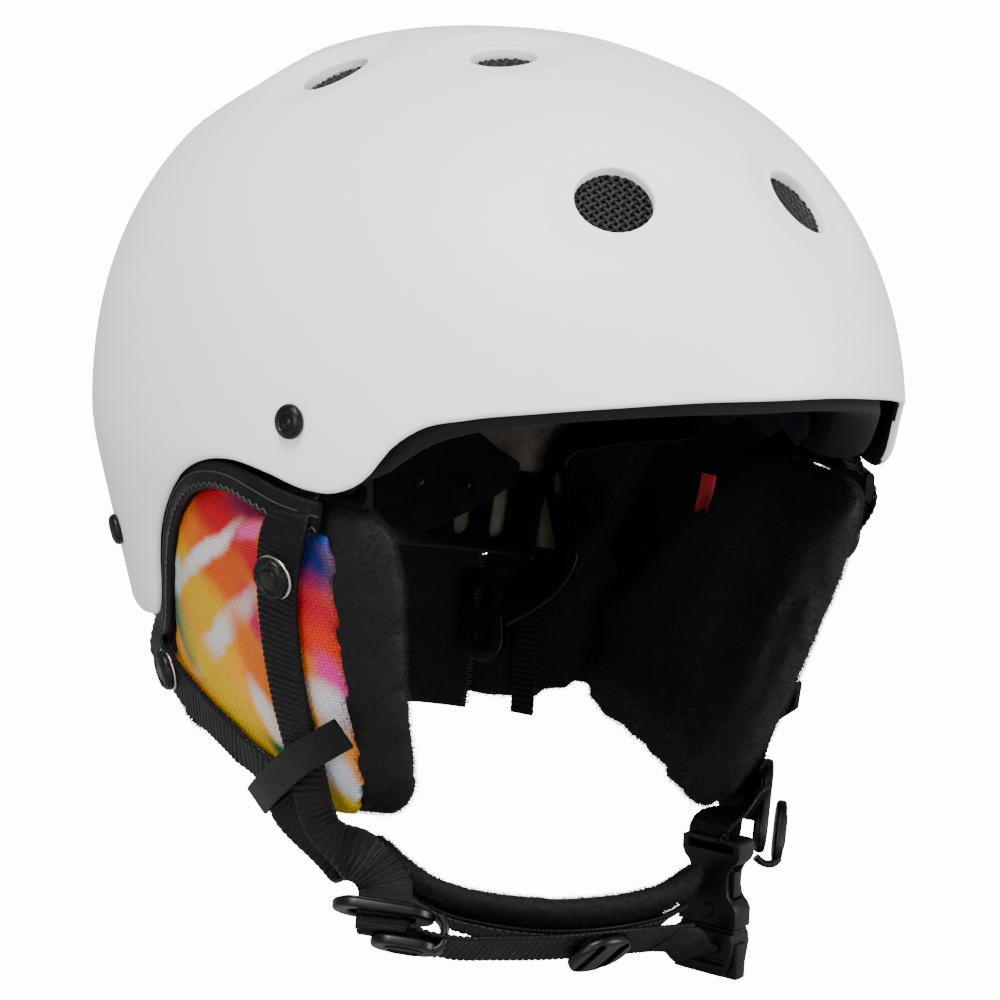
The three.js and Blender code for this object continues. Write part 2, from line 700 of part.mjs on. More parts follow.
const PLATE_LENGTH = 29;
const PLATE_WIDTH = 13.5;
const SLOT_WIDTH = 6.6;
const PLATE_THICKNESS = 3;
const LEVER_LENGTH = 19;
const LEVER_DROP = { right: 8.5, left: 5.5 };
const HINGE_REACH = 16.6;

function divider(side, centre, long, normal) {
  const group = new THREE.Group();
  group.position.copy(centre);
  group.quaternion.copy(frameOf(long, normal));
  const plate = slottedPlate(PLATE_LENGTH, PLATE_WIDTH, PLATE_THICKNESS, 19, SLOT_WIDTH);
  add(`divider_plate_${side}`, plate, TRIM_BLACK, group);
  const drop = LEVER_DROP[side];
  const foot = slottedPlate(LEVER_LENGTH, 11, 3, 0, 0).translate(HINGE_REACH - LEVER_LENGTH / 2, 0, drop);
  const arm = box(2.2, 8, drop + 2, HINGE_REACH - 0.2, 0, drop / 2);
  const lever = join(foot, arm);
  add(`divider_lever_${side}`, lever, TRIM_BLACK, group);
  assembly.add(group);
}
divider("right", DIVIDER_RIGHT, PLATE_LONG_RIGHT, PLATE_NORMAL_RIGHT);
divider("left", DIVIDER_LEFT, PLATE_LONG_LEFT, PLATE_NORMAL_LEFT);

// ---------------------------------------------------------------- chin strap
const CHIN_PATH = [
  [-55, -42, -118], [-52, -51, -123], [-46, -62, -128], [-36, -71, -130.5], [-24, -78, -132],
  [-8, -81, -133], [8, -79, -133.8], [22, -73.5, -134.5], [32, -67, -134.5], [38, -60, -134],
];
const CHIN_TILT = new THREE.Vector3(0, -0.72, 0.7);
const chinStops = CHIN_PATH.map(([x, y, z]) => place(x, y, z, [x * 0.012, CHIN_TILT.y, CHIN_TILT.z]));
add("chin_pad", band(chinStops, 20, 6, 20), FLEECE_BLACK);

const WEBBING_PATH = [
  [-53, -80, -136.5], [-40, -82, -138], [-22, -85.5, -139], [-2, -86, -140], [15, -82, -142.5],
  [26, -78, -144.5],
];
const webbingStops = WEBBING_PATH.map(([x, y, z]) => (
  place(x, y, z, [x * 0.008, CHIN_TILT.y, CHIN_TILT.z])
));
add("chin_webbing", band(webbingStops, WEBBING, WEBBING_THICKNESS, 16), WEBBING_BLACK);

// ---------------------------------------------------------------- side-release buckle
// Its own axes: X across the buckle, Y through it, Z up the strap.
const BUCKLE_PLACE = new THREE.Vector3(50.5, -63.5, -133);
const BUCKLE_TURN = -1.2;
const FEMALE_WIDTH = 20;
const FEMALE_DEPTH = 8.6;
const FEMALE_LOW = -14;
const FEMALE_TOP = 13;
const CAVITY_WIDTH = 15.6;
const CAVITY_DEPTH = 5;

const buckle = new THREE.Group();
buckle.position.copy(BUCKLE_PLACE);
buckle.rotation.z = BUCKLE_TURN;
assembly.add(buckle);

const female = cut(
  box(FEMALE_WIDTH, FEMALE_DEPTH, FEMALE_TOP - FEMALE_LOW, 0, 0, (FEMALE_TOP + FEMALE_LOW) / 2),
  box(CAVITY_WIDTH, CAVITY_DEPTH, 22, 0, 0, FEMALE_LOW + 10),
  box(FEMALE_WIDTH + 4, CAVITY_DEPTH, 11, 0, 0, -1),
  box(16, FEMALE_DEPTH + 4, 2.6, 0, 0, 10.2),
);
add("buckle_female", female, TRIM_BLACK, buckle);

const MALE_TOP = FEMALE_LOW - GAP;
const male = cut(
  join(
    box(19, 7.6, 5, 0, 0, MALE_TOP - 2.5),
    box(22, 5, 11, 0, -1, MALE_TOP - 9.5),
    box(2.4, 4, 20, 0, 0, MALE_TOP + 5),
  ),
  box(16.5, 20, 2.6, 0, 0, MALE_TOP - 6.6),
  box(16.5, 20, 2.6, 0, 0, MALE_TOP - 11.6),
);
add("buckle_male", male, TRIM_BLACK, buckle);

for (const [name, sign] of [["front", 1], ["rear", -1]]) {
  const prong = join(
    box(2.2, 4, 17.4, sign * 5, 0, MALE_TOP + 0.3 + 8.7),
    box(3, 4, 8, sign * 6.1, 0, -1),
  );
  add(`buckle_prong_${name}`, prong, TRIM_BLACK, buckle);
}

// Webbing through the female half's top bar and back to the left divider.
add("buckle_loop", band([
  place(50.5, -63.5, -117.4, [0.36, -0.93, 0]),
  place(55, -63, -113.5, [0.36, -0.9, 0.2]),
  place(62.5, -62, -112, [0.3, -0.6, 0.7]),
], WEBBING - 1, WEBBING_THICKNESS, 6), WEBBING_BLACK);

// Slider on the chin webbing and the short run from it to the male half.
const slider = new THREE.Group();
slider.position.set(15, -82, -142.5);
const SLIDER_LONG = new THREE.Vector3(0.12, CHIN_TILT.y, CHIN_TILT.z);
const SLIDER_NORMAL = new THREE.Vector3(0.95, 0.27, -0.15);
slider.quaternion.copy(frameOf(SLIDER_LONG, SLIDER_NORMAL));
assembly.add(slider);
add("webbing_slider", cut(box(20, 7.4, 7), box(17.2, 4.6, 12)), TRIM_BLACK, slider);
add("buckle_webbing", band([
  place(29.5, -76.6, -146.4, [0.2, -0.7, 0.7]),
  place(33, -73.5, -149, [0.1, -0.72, 0.7]),
  place(38, -69.5, -153, [0.2, -0.75, 0.6]),
  place(44, -66.2, -155.5, [0.3, -0.8, 0.4]),
], WEBBING - 2, WEBBING_THICKNESS * 2, 5), WEBBING_BLACK);

// ---------------------------------------------------------------- goggle strap clip at the back
const CLIP_ANGLE = 180;
const clipTop = domePoint(CLIP_ANGLE, -12, 0);
const clip = new THREE.Group();
clip.position.copy(clipTop);
assembly.add(clip);
add("goggle_clip_base", rod(8, new THREE.Vector3(), new THREE.Vector3(0, 1, 0), 1, 3, 18), TRIM_BLACK, clip);
const tongue = join(
  box(15, 1.6, 40, 0, 4.4, -17),
  rod(4.2, new THREE.Vector3(0, 0, -32), new THREE.Vector3(0, 1, 0), 3.6, 7, 16),
);
add("goggle_clip_strap", tongue, WEBBING_BLACK, clip);

export default assembly;
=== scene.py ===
"""Ski helmet: shell, liner, ear pads, strap harness, buckle and fit system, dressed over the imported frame."""
import json
import math
import bmesh
import bpy
import numpy as np
from mathutils import Matrix, Vector

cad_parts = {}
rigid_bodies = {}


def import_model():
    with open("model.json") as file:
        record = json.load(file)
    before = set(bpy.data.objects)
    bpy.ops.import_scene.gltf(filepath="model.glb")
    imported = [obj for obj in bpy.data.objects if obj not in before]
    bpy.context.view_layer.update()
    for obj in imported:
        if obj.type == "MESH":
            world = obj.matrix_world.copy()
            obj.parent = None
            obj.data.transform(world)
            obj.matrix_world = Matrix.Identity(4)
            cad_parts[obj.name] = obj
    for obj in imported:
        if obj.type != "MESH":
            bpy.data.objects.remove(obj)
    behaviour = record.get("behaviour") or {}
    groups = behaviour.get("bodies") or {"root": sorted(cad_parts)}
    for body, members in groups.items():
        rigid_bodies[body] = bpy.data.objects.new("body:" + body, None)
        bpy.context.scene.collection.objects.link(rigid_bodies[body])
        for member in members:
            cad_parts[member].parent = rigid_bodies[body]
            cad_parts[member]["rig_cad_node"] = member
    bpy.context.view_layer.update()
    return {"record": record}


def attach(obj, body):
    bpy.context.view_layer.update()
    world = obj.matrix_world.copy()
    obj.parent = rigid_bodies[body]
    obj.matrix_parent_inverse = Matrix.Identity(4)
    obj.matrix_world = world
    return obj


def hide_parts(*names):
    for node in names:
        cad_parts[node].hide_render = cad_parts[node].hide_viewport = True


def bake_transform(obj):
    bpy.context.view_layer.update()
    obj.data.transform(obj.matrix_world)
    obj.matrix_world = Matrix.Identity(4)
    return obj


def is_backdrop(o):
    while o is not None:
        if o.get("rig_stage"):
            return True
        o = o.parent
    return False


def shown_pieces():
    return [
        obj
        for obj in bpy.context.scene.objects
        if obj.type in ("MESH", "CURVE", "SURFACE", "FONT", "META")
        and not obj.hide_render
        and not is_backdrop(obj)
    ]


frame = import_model()

MM = 0.001
HALF_WIDTH, HALF_LENGTH, DOME_HEIGHT = 110.0, 144.5, 116.5
PLAN_POWER, PROFILE_POWER = 2.05, 2.2
TUCK_SLOPE, TUCK_START, TUCK_SOFTNESS = 0.26, 8.0, 6.0
SHELL_WALL = 3.0
LINER_OUTER, LINER_INNER = 7.2, 20.5
PAD_OUTER, PAD_INNER = 22.0, 28.0
STRAP_INSET, STRAP_LIFT = 5.4, 2.7
WEBBING, WEBBING_THICKNESS = 15.0, 1.3

RIM = [
    (0, 23), (11, 22.7), (22, 21), (33, 18.4), (42, 15.3), (48, 11.5), (51.5, 5.8), (54.5, -2.5),
    (58.5, -7.6),
    (63, -8.2), (69, -5.4), (75, -3.8), (80, -5.6), (84, -9.5), (88, -16.2), (91.5, -24.3), (94.6, -33),
    (97, -42),
    (99, -51), (101.5, -58.5), (107, -62.5), (116, -63.5), (127, -63), (138, -62.5), (149, -62),
    (159, -61.6),
    (169, -61.3), (180, -61),
]
LINER_EDGE = [
    (0, 18), (11, 17.8), (22, 16.4), (33, 14), (42, 10.5), (48, 6), (51.5, 1.5), (54.5, -3), (58.5, -6),
    (63, -6.5), (105, -6.5), (112, -55), (125, -57), (180, -57),
]
EAR_OUTLINE = [
    (59.5, -19, -92), (61, -18, -100), (65, -17.5, -106.5), (70, -16, -107), (76, -11, -105),
    (82, -11.5, -100),
    (88, -18, -96), (93, -30, -93), (97, -44, -91), (100.5, -58, -90), (105, -72, -90), (110, -74, -88),
]


# ---------------------------------------------------------------- dome and harness surfaces, in millimetres
def ease(x, low, high):
    t = np.clip((np.asarray(x, float) - low) / (high - low), 0, 1)
    return t * t * (3 - 2 * t)


def smooth_table(rows, x):
    """A smooth curve through (x, y) rows."""
    xs, ys = np.array(rows, float).T
    slopes = np.gradient(ys, xs)
    i = np.clip(np.searchsorted(xs, x) - 1, 0, len(xs) - 2)
    span = xs[i + 1] - xs[i]
    t = np.clip((x - xs[i]) / span, 0, 1)
    return (
        (2 * t**3 - 3 * t**2 + 1) * ys[i] + (t**3 - 2 * t**2 + t) * span * slopes[i]
        + (3 * t**2 - 2 * t**3) * ys[i + 1] + (t**3 - t**2) * span * slopes[i + 1]
    )


def fold(angle):
    turned = np.mod(angle, 360)
    return np.where(turned > 180, 360 - turned, turned)


def tuck(z):
    drop = np.maximum(0, -np.asarray(z, float)) - TUCK_START
    rest = math.hypot(TUCK_START, TUCK_SOFTNESS) - TUCK_START
    return np.where(np.asarray(z) < 0, TUCK_SLOPE * 0.5 * (np.hypot(drop, TUCK_SOFTNESS) + drop - rest), 0)


def oval(angle, half_width, half_length, z):
    s, c = np.sin(np.radians(angle)), np.cos(np.radians(angle))
    power = 2 / PLAN_POWER
    x = -half_width * np.sign(s) * np.abs(s) ** power
    y = -half_length * np.sign(c) * np.abs(c) ** power
    return np.stack(np.broadcast_arrays(x, y, z), -1).astype(float)


def dome(angle, z, inset=0.0):
    """A point on the dome, set in by a distance; the wall tucks in below the widest section."""
    z = np.asarray(z, float)
    rise = np.clip(z / (DOME_HEIGHT - inset), 0, 1)
    k = (1 - rise**PROFILE_POWER) ** (1 / PROFILE_POWER)
    return oval(angle, (HALF_WIDTH - inset) * k - tuck(z), (HALF_LENGTH - inset) * k - tuck(z), z)


def harness_inset(angle, z):
    drop = np.maximum(0, -15 - np.asarray(z, float))
    free = 2 + 0.25 * drop + 0.0009 * drop * drop
    inside = tuck(np.maximum(z, -64)) + SHELL_WALL + 0.9 + 0.25 * np.maximum(0, -64 - np.asarray(z, float))
    return free + (np.maximum(free, inside) - free) * ease(fold(angle), 70, 80)


def harness(angle, z, depth=0.0):
    """A point on the outside of the ear pads; depth goes in towards the head."""
    inset = harness_inset(angle, z) + depth
    return oval(angle, HALF_WIDTH - inset, HALF_LENGTH - inset, z)


def unit(v):
    v = np.asarray(v, float)
    return v / np.maximum(np.linalg.norm(v, axis=-1, keepdims=True), 1e-9)


def round_head(surface, angle, z):
    return unit(surface(angle + 2, z) - surface(angle - 2, z))


def out_of(surface, angle, z):
    return unit(np.cross(surface(angle, z + 1) - surface(angle, z - 1), round_head(surface, angle, z)))


def on_dome(inset):
    return lambda angle, z: dome(angle, z, inset)


def on_harness(lift):
    return lambda angle, z: harness(angle, z, -lift)


def other_side(points):
    return np.asarray(points, float) * np.array([-1, 1, 1])


# ---------------------------------------------------------------- mesh building
def make_mesh(name, points, faces, material=None, sharp=40):
    mesh = bpy.data.meshes.new(name)
    mesh.from_pydata((np.asarray(points, float) * MM).tolist(), [], [list(map(int, f)) for f in faces])
    piece = bpy.data.objects.new(name, mesh)
    bpy.context.collection.objects.link(piece)
    tidy_mesh(piece, sharp)
    if material:
        mesh.materials.append(material)
    return piece


def tidy_mesh(piece, sharp=40, weld=0.00001):
    b = bmesh.new()
    b.from_mesh(piece.data)
    bmesh.ops.remove_doubles(b, verts=b.verts, dist=weld)
    bmesh.ops.dissolve_degenerate(b, edges=b.edges, dist=0.000004)
    bmesh.ops.recalc_face_normals(b, faces=b.faces)
    b.to_mesh(piece.data)
    b.free()
    piece.data.shade_smooth()
    piece.data.set_sharp_from_angle(angle=math.radians(sharp))


def grid_faces(rows, columns, wrap=False, start=0):
    faces = []
    for r in range(rows - 1):
        for c in range(columns if wrap else columns - 1):
            d = (c + 1) % columns
            faces.append((start + r * columns + c, start + r * columns + d,
                          start + (r + 1) * columns + d, start + (r + 1) * columns + c))
    return faces


def closed_faces(rows, count):
    """Faces of a tube of rings with a flat face at each end."""
    return grid_faces(rows, count, wrap=True) + [range(count), range(count * (rows - 1), count * rows)]


def apply_modifiers(piece):
    seen = bpy.context.evaluated_depsgraph_get()
    mesh = bpy.data.meshes.new_from_object(piece.evaluated_get(seen))
    piece.modifiers.clear()
    piece.data = mesh
    return piece


def cut_away(piece, cutters, sharp=40):
    """Takes closed cutter meshes out of a piece."""
    for cutter in cutters:
        change = piece.modifiers.new("cut", "BOOLEAN")
        change.operation, change.solver, change.object = "DIFFERENCE", "MANIFOLD", cutter
    apply_modifiers(piece)
    for cutter in cutters:
        bpy.data.objects.remove(cutter)
    piece.data.shade_smooth()
    piece.data.set_sharp_from_angle(angle=math.radians(sharp))
    return piece


def soften(piece, width, segments=3, angle=35):
    """Rounds the hard edges of a moulded piece."""
    change = piece.modifiers.new("edge", "BEVEL")
    change.width, change.segments, change.limit_method = width * MM, segments, "ANGLE"
    change.angle_limit = math.radians(angle)
    change.harden_normals = False
    apply_modifiers(piece)
    piece.data.shade_smooth()
    piece.data.set_sharp_from_angle(angle=math.radians(50))
    return piece


def lathe(name, profile, centre, axis, material=None, segments=48, sharp=40):
    """Turns (radius, height) pairs round an axis; the ends close on the axis."""
    axis = unit(axis)
    side = unit(np.cross(axis, [0.3, 0.2, 0.93]))
    other = np.cross(axis, side)
    turn = np.linspace(0, 2 * math.pi, segments, endpoint=False)
    rings = [np.asarray(centre) + h * axis + r * (np.outer(np.cos(turn), side) + np.outer(np.sin(turn),
                                                                                          other))
             for r, h in profile]
    return make_mesh(name, np.concatenate(rings), grid_faces(len(profile), segments, wrap=True)
                     + [range(segments)] + [range(segments * (len(profile) - 1), segments * len(profile))],
                     material, sharp)


def run_along(stops, step):
    """Points, width directions and distances along a smooth path of (point, across) stops."""
    points = np.array([s[0] for s in stops], float)
    across = np.array([s[1] for s in stops], float)
    knots = np.r_[0, np.cumsum(np.linalg.norm(np.diff(points, axis=0), axis=1))]
    s = np.linspace(0, knots[-1], max(3, round(knots[-1] / step) + 1))
    path = np.stack([smooth_table(np.c_[knots, points[:, k]], s) for k in range(3)], 1)
    wide = np.stack([smooth_table(np.c_[knots, across[:, k]], s) for k in range(3)], 1)
    ahead = unit(np.gradient(path, axis=0))
    wide = unit(wide - ahead * np.sum(ahead * wide, 1, keepdims=True))
    return path, wide, np.cross(ahead, wide), s


def sweep(name, stops, ring, material, step=0.5, lift=None, sharp=60):
    """Runs a closed ring of (across, out) offsets along a path; lift(s, ring) reshapes it on the way."""
    path, wide, out, s = run_along(stops, step)
    ring = np.asarray(ring, float)
    offsets = np.repeat(ring[None], len(s), 0) if lift is None else lift(s, ring)
    points = path[:, None] + offsets[..., :1] * wide[:, None] + offsets[..., 1:] * out[:, None]
    count = len(ring)
    faces = grid_faces(len(s), count, wrap=True)
    piece = make_mesh(name, points.reshape(-1, 3), faces + [range(count),
                                                            range(count * (len(s) - 1), count * len(s))],
                      material, sharp)
    lay_out(piece, path, wide, s)
    return piece


def lay_out(piece, path, wide, s):
    """Stores the place across and along a strap, in metres, as the piece's UV map."""
    layer = piece.data.uv_layers.new(name="strap")
    co = np.array([v.co for v in piece.data.vertices]) / MM
    step = max(1, len(s) // 400)
    near = np.array([np.argmin(np.sum((path[::step] - p) ** 2, 1)) for p in co]) * step
    u = np.sum((co - path[near]) * wide[near], 1)
    ahead = unit(np.gradient(path, axis=0))
    v = s[near] + np.sum((co - path[near]) * ahead[near], 1)
    index = np.array([loop.vertex_index for loop in piece.data.loops])
    layer.data.foreach_set("uv", (np.stack([u[index], v[index]], 1) * MM).ravel().astype(np.float32))


def rounded_ring(width, thickness, across=10, round_off=None):
    """A flat strap's cross-section, with softly rounded selvages."""
    half, t = width / 2, thickness / 2
    edge = round_off or t
    turn = np.linspace(-math.pi / 2, math.pi / 2, 6)
    right = np.stack([half - edge + edge * np.cos(turn), t * np.sin(turn)], 1)
    top = np.stack([np.linspace(half - edge, edge - half, across + 1)[1:-1], np.full(across - 1, t)], 1)
    left = -right
    low = -top
    return np.concatenate([right, top, left, low])


RIB_PITCH, RIB_HEIGHT = 1.95, 0.46


def ribbed(s, ring):
    """Cross ribs of woven webbing, which fade at the selvages."""
    wave = np.abs(np.sin(math.pi * s / RIB_PITCH)) ** 0.7 - 0.6
    half = np.abs(ring[:, 0]).max()
    body = 1 - ease(np.abs(ring[:, 0]) / half, 0.93, 1.0) * 0.6
    offsets = np.repeat(ring[None], len(s), 0)
    offsets[..., 1] += np.sign(ring[:, 1]) * RIB_HEIGHT * wave[:, None] * body
    offsets[..., 0] += 0.12 * np.sign(ring[:, 0]) * (np.abs(ring[:, 0]) / half > 0.9) * wave[:, None]
    return offsets


def webbing(name, stops, material, width=WEBBING, thickness=WEBBING_THICKNESS):
    return sweep(name, stops, rounded_ring(width, thickness), material, 0.33, ribbed, 75)


def moulded_run(name, stops, ring, material, step):
    """A swept piece that is not woven, so it keeps no strap layout."""
    piece = sweep(name, stops, ring, material, step)
    piece.data.uv_layers.remove(piece.data.uv_layers[0])
    return piece


def pillow(name, surface, columns, depth_out, depth_in, material, size=(56, 64), edge=7.0, crown=0.0):
    """A closed pad on a surface: columns are (angle, top, bottom); it thins to a round edge on all sides."""
    table = np.array(columns, float)
    wide, tall = size
    s = 0.5 - 0.5 * np.cos(np.linspace(0, math.pi, wide))
    t = 0.5 - 0.5 * np.cos(np.linspace(0, math.pi, tall))
    angle = table[0, 0] + (table[-1, 0] - table[0, 0]) * s
    order = np.argsort(table[:, 0])
    top = smooth_table(table[order][:, [0, 1]], angle)
    bottom = smooth_table(table[order][:, [0, 2]], angle)
    a = np.repeat(angle[:, None], tall, 1)
    z = top[:, None] + (bottom - top)[:, None] * t[None]
    def fall(x):
        return (1 - np.abs(2 * x - 1) ** edge) ** (1 / 2.2)
    full = fall(s)[:, None] * fall(t)[None]
    belly = np.sin(math.pi * s)[:, None] * np.sin(math.pi * t)[None]
    mid, half = (depth_out + depth_in) / 2, (depth_in - depth_out) / 2
    outer = surface(a, z, mid - half * full - crown * belly)
    inner = surface(a, z, mid + half * full + crown * belly)
    points = np.concatenate([outer.reshape(-1, 3), inner.reshape(-1, 3)])
    faces = grid_faces(wide, tall) + [f[::-1] for f in grid_faces(wide, tall, start=wide * tall)]
    piece = make_mesh(name, points, faces, material, 180)
    tidy_mesh(piece, 180, 0.0002)
    return piece


# ---------------------------------------------------------------- camera, floor and lights
def set_camera():
    data = bpy.data.cameras.new("camera")
    data.sensor_width, data.lens, data.clip_end = 36.0, 104.14, 50.0
    camera = bpy.data.objects.new("camera", data)
    bpy.context.collection.objects.link(camera)
    right, up, back = (0.8437, -0.5348, 0.0474), (0.0458, 0.1596, 0.9861), (-0.5349, -0.8298, 0.1591)
    place = (-0.4656, -0.7338, 0.1143)
    camera.matrix_world = Matrix([[right[i], up[i], back[i], place[i]] for i in range(3)] + [[0, 0, 0, 1]])
    bpy.context.scene.camera = camera


def soft_light(name, place, aim, size, power):
    data = bpy.data.lights.new(name, "AREA")
    data.shape, data.size, data.energy = "DISK", size, power
    lamp = bpy.data.objects.new(name, data)
    bpy.context.collection.objects.link(lamp)
    lamp.location = place
    lamp.rotation_euler = (Vector(aim) - Vector(place)).to_track_quat("-Z", "Y").to_euler()


AMBIENT, BACKDROP = 0.42, 14.0
FLOOR_REACH, FLOOR_LEVEL = 6000, -166


def set_studio():
    world = bpy.data.worlds.new("studio")
    world.use_nodes = True
    tree = world.node_tree
    seen = put(tree, "ShaderNodeLightPath").outputs["Is Camera Ray"]
    sky = tree.nodes["Background"]
    sky.inputs["Color"].default_value = (1, 1, 1, 1)
    glow = maths(tree, "ADD", AMBIENT, maths(tree, "MULTIPLY", seen, BACKDROP - AMBIENT))
    tree.links.new(glow, sky.inputs["Strength"])
    bpy.context.scene.world = world
    corners = [(x * FLOOR_REACH, y * FLOOR_REACH, FLOOR_LEVEL) for x,
               y in ((-1, -1), (1, -1), (1, 1), (-1, 1))]
    make_mesh("floor", corners, [(0, 1, 2, 3)], pale_floor())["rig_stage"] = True
    soft_light("key", (-0.8, -0.6, 1.6), (0, 0, 0), 0.9, 62)
    soft_light("side", (1.2, -1.3, 0.45), (0, 0, -0.02), 0.8, 34)
    soft_light("left_fill", (-1.6, -0.9, 0.25), (0, 0, -0.02), 0.6, 13)
    soft_light("low_front", (-0.5, -1.7, 0.0), (0, -0.03, -0.08), 0.5, 9)


def pale_floor():
    """A pale floor that stays plain where the camera sees it and takes and gives light elsewhere."""
    material, tree, shader = new_material("pale_floor")
    shader.inputs["Base Color"].default_value = (0.45, 0.45, 0.45, 1)
    shader.inputs["Roughness"].default_value = 0.95
    plain = put(tree, "ShaderNodeEmission", {"Color": (1, 1, 1, 1), "Strength": BACKDROP})
    seen = put(tree, "ShaderNodeLightPath").outputs["Is Camera Ray"]
    mixed = put(tree, "ShaderNodeMixShader", {0: seen, 1: shader.outputs[0], 2: plain.outputs[0]})
    tree.links.new(mixed.outputs[0], tree.nodes["Material Output"].inputs["Surface"])
    return material


# ---------------------------------------------------------------- node helpers
def put(tree, kind, feeds=(), **settings):
    """Adds a node, sets its properties and feeds its inputs with values or other nodes' outputs."""
    node = tree.nodes.new(kind)
    for key, value in settings.items():
        setattr(node, key, value)
    for key, value in dict(feeds).items():
        socket = node.inputs[key]
        if isinstance(value, bpy.types.NodeSocket):
            tree.links.new(value, socket)
        else:
            socket.default_value = value
    return node


def maths(tree, operation, *values):
    return put(tree, "ShaderNodeMath", dict(enumerate(values)), operation=operation).outputs[0]


def sockets(tree, side, rows):
    for name, kind, value in rows:
        socket = tree.interface.new_socket(name, in_out=side, socket_type=f"NodeSocket{kind}")
        if value is not None:
            socket.default_value = value


def shader_group(name, inputs, outputs):
    tree = bpy.data.node_groups.new(name, "ShaderNodeTree")
    sockets(tree, "INPUT", inputs)
    sockets(tree, "OUTPUT", [(n, k, None) for n, k in outputs])
    return tree, tree.nodes.new("NodeGroupInput").outputs, tree.nodes.new("NodeGroupOutput").inputs


def fine_grain():
    """Two sizes of noise for moulded plastic and foam."""
    tree, given, made = shader_group("fine_grain", [("Coordinate", "Vector", None),
                                                    ("Grain size", "Float", 1.0),
                                                    ("Contrast", "Float", 1.0)],
                                     [("Height", "Float"), ("Shade", "Float")])
    scale = maths(tree, "DIVIDE", 1000.0, given["Grain size"])
    fine = put(tree, "ShaderNodeTexNoise", {"Vector": given["Coordinate"], "Scale": scale, "Detail": 3.0})
    broad = put(tree, "ShaderNodeTexNoise", {"Vector": given["Coordinate"],
                                             "Scale": maths(tree, "DIVIDE", scale, 14.0), "Detail": 4.0})
    tree.links.new(fine.outputs["Fac"], made["Height"])
    spread = maths(tree, "MULTIPLY", maths(tree, "SUBTRACT", broad.outputs["Fac"], 0.5), given["Contrast"])
    tree.links.new(maths(tree, "ADD", 0.5, spread), made["Shade"])
    return tree


def plain_weave():
    """Over-and-under threads in two directions; Across and Along are in metres, Pitch in millimetres."""
    tree, given, made = shader_group("plain_weave", [("Across", "Float", 0.0), ("Along", "Float", 0.0),
                                                     ("Pitch", "Float", 1.0)],
                                     [("Height", "Float"), ("Gap", "Float")])
    scale = maths(tree, "DIVIDE", 1000.0, given["Pitch"])
    u, v = maths(tree, "MULTIPLY", given["Across"], scale), maths(tree, "MULTIPLY", given["Along"], scale)
    ridge_u = maths(tree, "ABSOLUTE", maths(tree, "SINE", maths(tree, "MULTIPLY", u, math.pi)))
    ridge_v = maths(tree, "ABSOLUTE", maths(tree, "SINE", maths(tree, "MULTIPLY", v, math.pi)))
    turn = maths(tree, "ADD", maths(tree, "FLOOR", u), maths(tree, "FLOOR", v))
    over = maths(tree, "PINGPONG", turn, 1.0)
    top = maths(tree, "MULTIPLY", ridge_u, maths(tree, "ADD", 0.45, maths(tree, "MULTIPLY", over, 0.55)))
    back = maths(tree, "SUBTRACT", 1.0, maths(tree, "MULTIPLY", over, 0.55))
    low = maths(tree, "MULTIPLY", ridge_v, back)
    height = maths(tree, "MAXIMUM", top, low)
    tree.links.new(height, made["Height"])
    tree.links.new(maths(tree, "SUBTRACT", 1.0, height), made["Gap"])
    return tree


def dye_spot():
    """One soft-edged patch of dye on the side of a pad, over the colour under it; sizes in millimetres."""
    tree, given, made = shader_group(
        "dye_spot",
        [("Under", "Color", (1, 1, 1, 1)), ("Place", "Vector", None), ("Centre", "Vector", None),
         ("Tilt", "Float", 0.0), ("Half length", "Float", 10.0), ("Half width", "Float", 10.0),
         ("Dye", "Color", (1, 0, 0, 1))],
        [("Color", "Color")])
    apart = put(tree, "ShaderNodeVectorMath", {0: given["Place"], 1: given["Centre"]}, operation="SUBTRACT")
    turned = put(tree, "ShaderNodeVectorRotate", {"Vector": apart.outputs[0], "Angle": given["Tilt"]},
                 rotation_type="X_AXIS")
    parts = put(tree, "ShaderNodeSeparateXYZ", {0: turned.outputs[0]})
    along = maths(tree, "DIVIDE", parts.outputs["Y"], given["Half length"])
    aside = maths(tree, "DIVIDE", parts.outputs["Z"], given["Half width"])
    far = maths(tree, "SQRT", maths(tree, "ADD", maths(tree, "POWER", along, 2.0),
                                    maths(tree, "POWER", aside, 2.0)))
    amount = put(tree, "ShaderNodeMapRange", {"Value": far, "From Min": 1.25, "From Max": 0.35},
                 interpolation_type="SMOOTHSTEP")
    mixed = put(tree, "ShaderNodeMix", {"Factor": amount.outputs[0]}, data_type="RGBA")
    tree.links.new(given["Under"], mixed.inputs[6])
    tree.links.new(given["Dye"], mixed.inputs[7])
    tree.links.new(mixed.outputs[2], made["Color"])
    return tree


def new_material(name):
    material = bpy.data.materials.new(name)
    material.use_nodes = True
    tree = material.node_tree
    return material, tree, tree.nodes["Principled BSDF"]


def between(tree, amount, low, high):
    mixed = put(tree, "ShaderNodeMix", {"Factor": amount}, data_type="RGBA")
    for index, value in ((6, low), (7, high)):
        if isinstance(value, bpy.types.NodeSocket):
            tree.links.new(value, mixed.inputs[index])
        else:
            mixed.inputs[index].default_value = (*value, 1)
    return mixed.outputs[2]


def bump(tree, shader, height, distance, strength=1.0):
    rise = put(tree, "ShaderNodeBump", {"Height": height, "Distance": distance * MM, "Strength": strength})
    tree.links.new(rise.outputs[0], shader.inputs["Normal"])
    return rise


def feed_group(tree, group, feeds):
    return put(tree, "ShaderNodeGroup", feeds, node_tree=group)


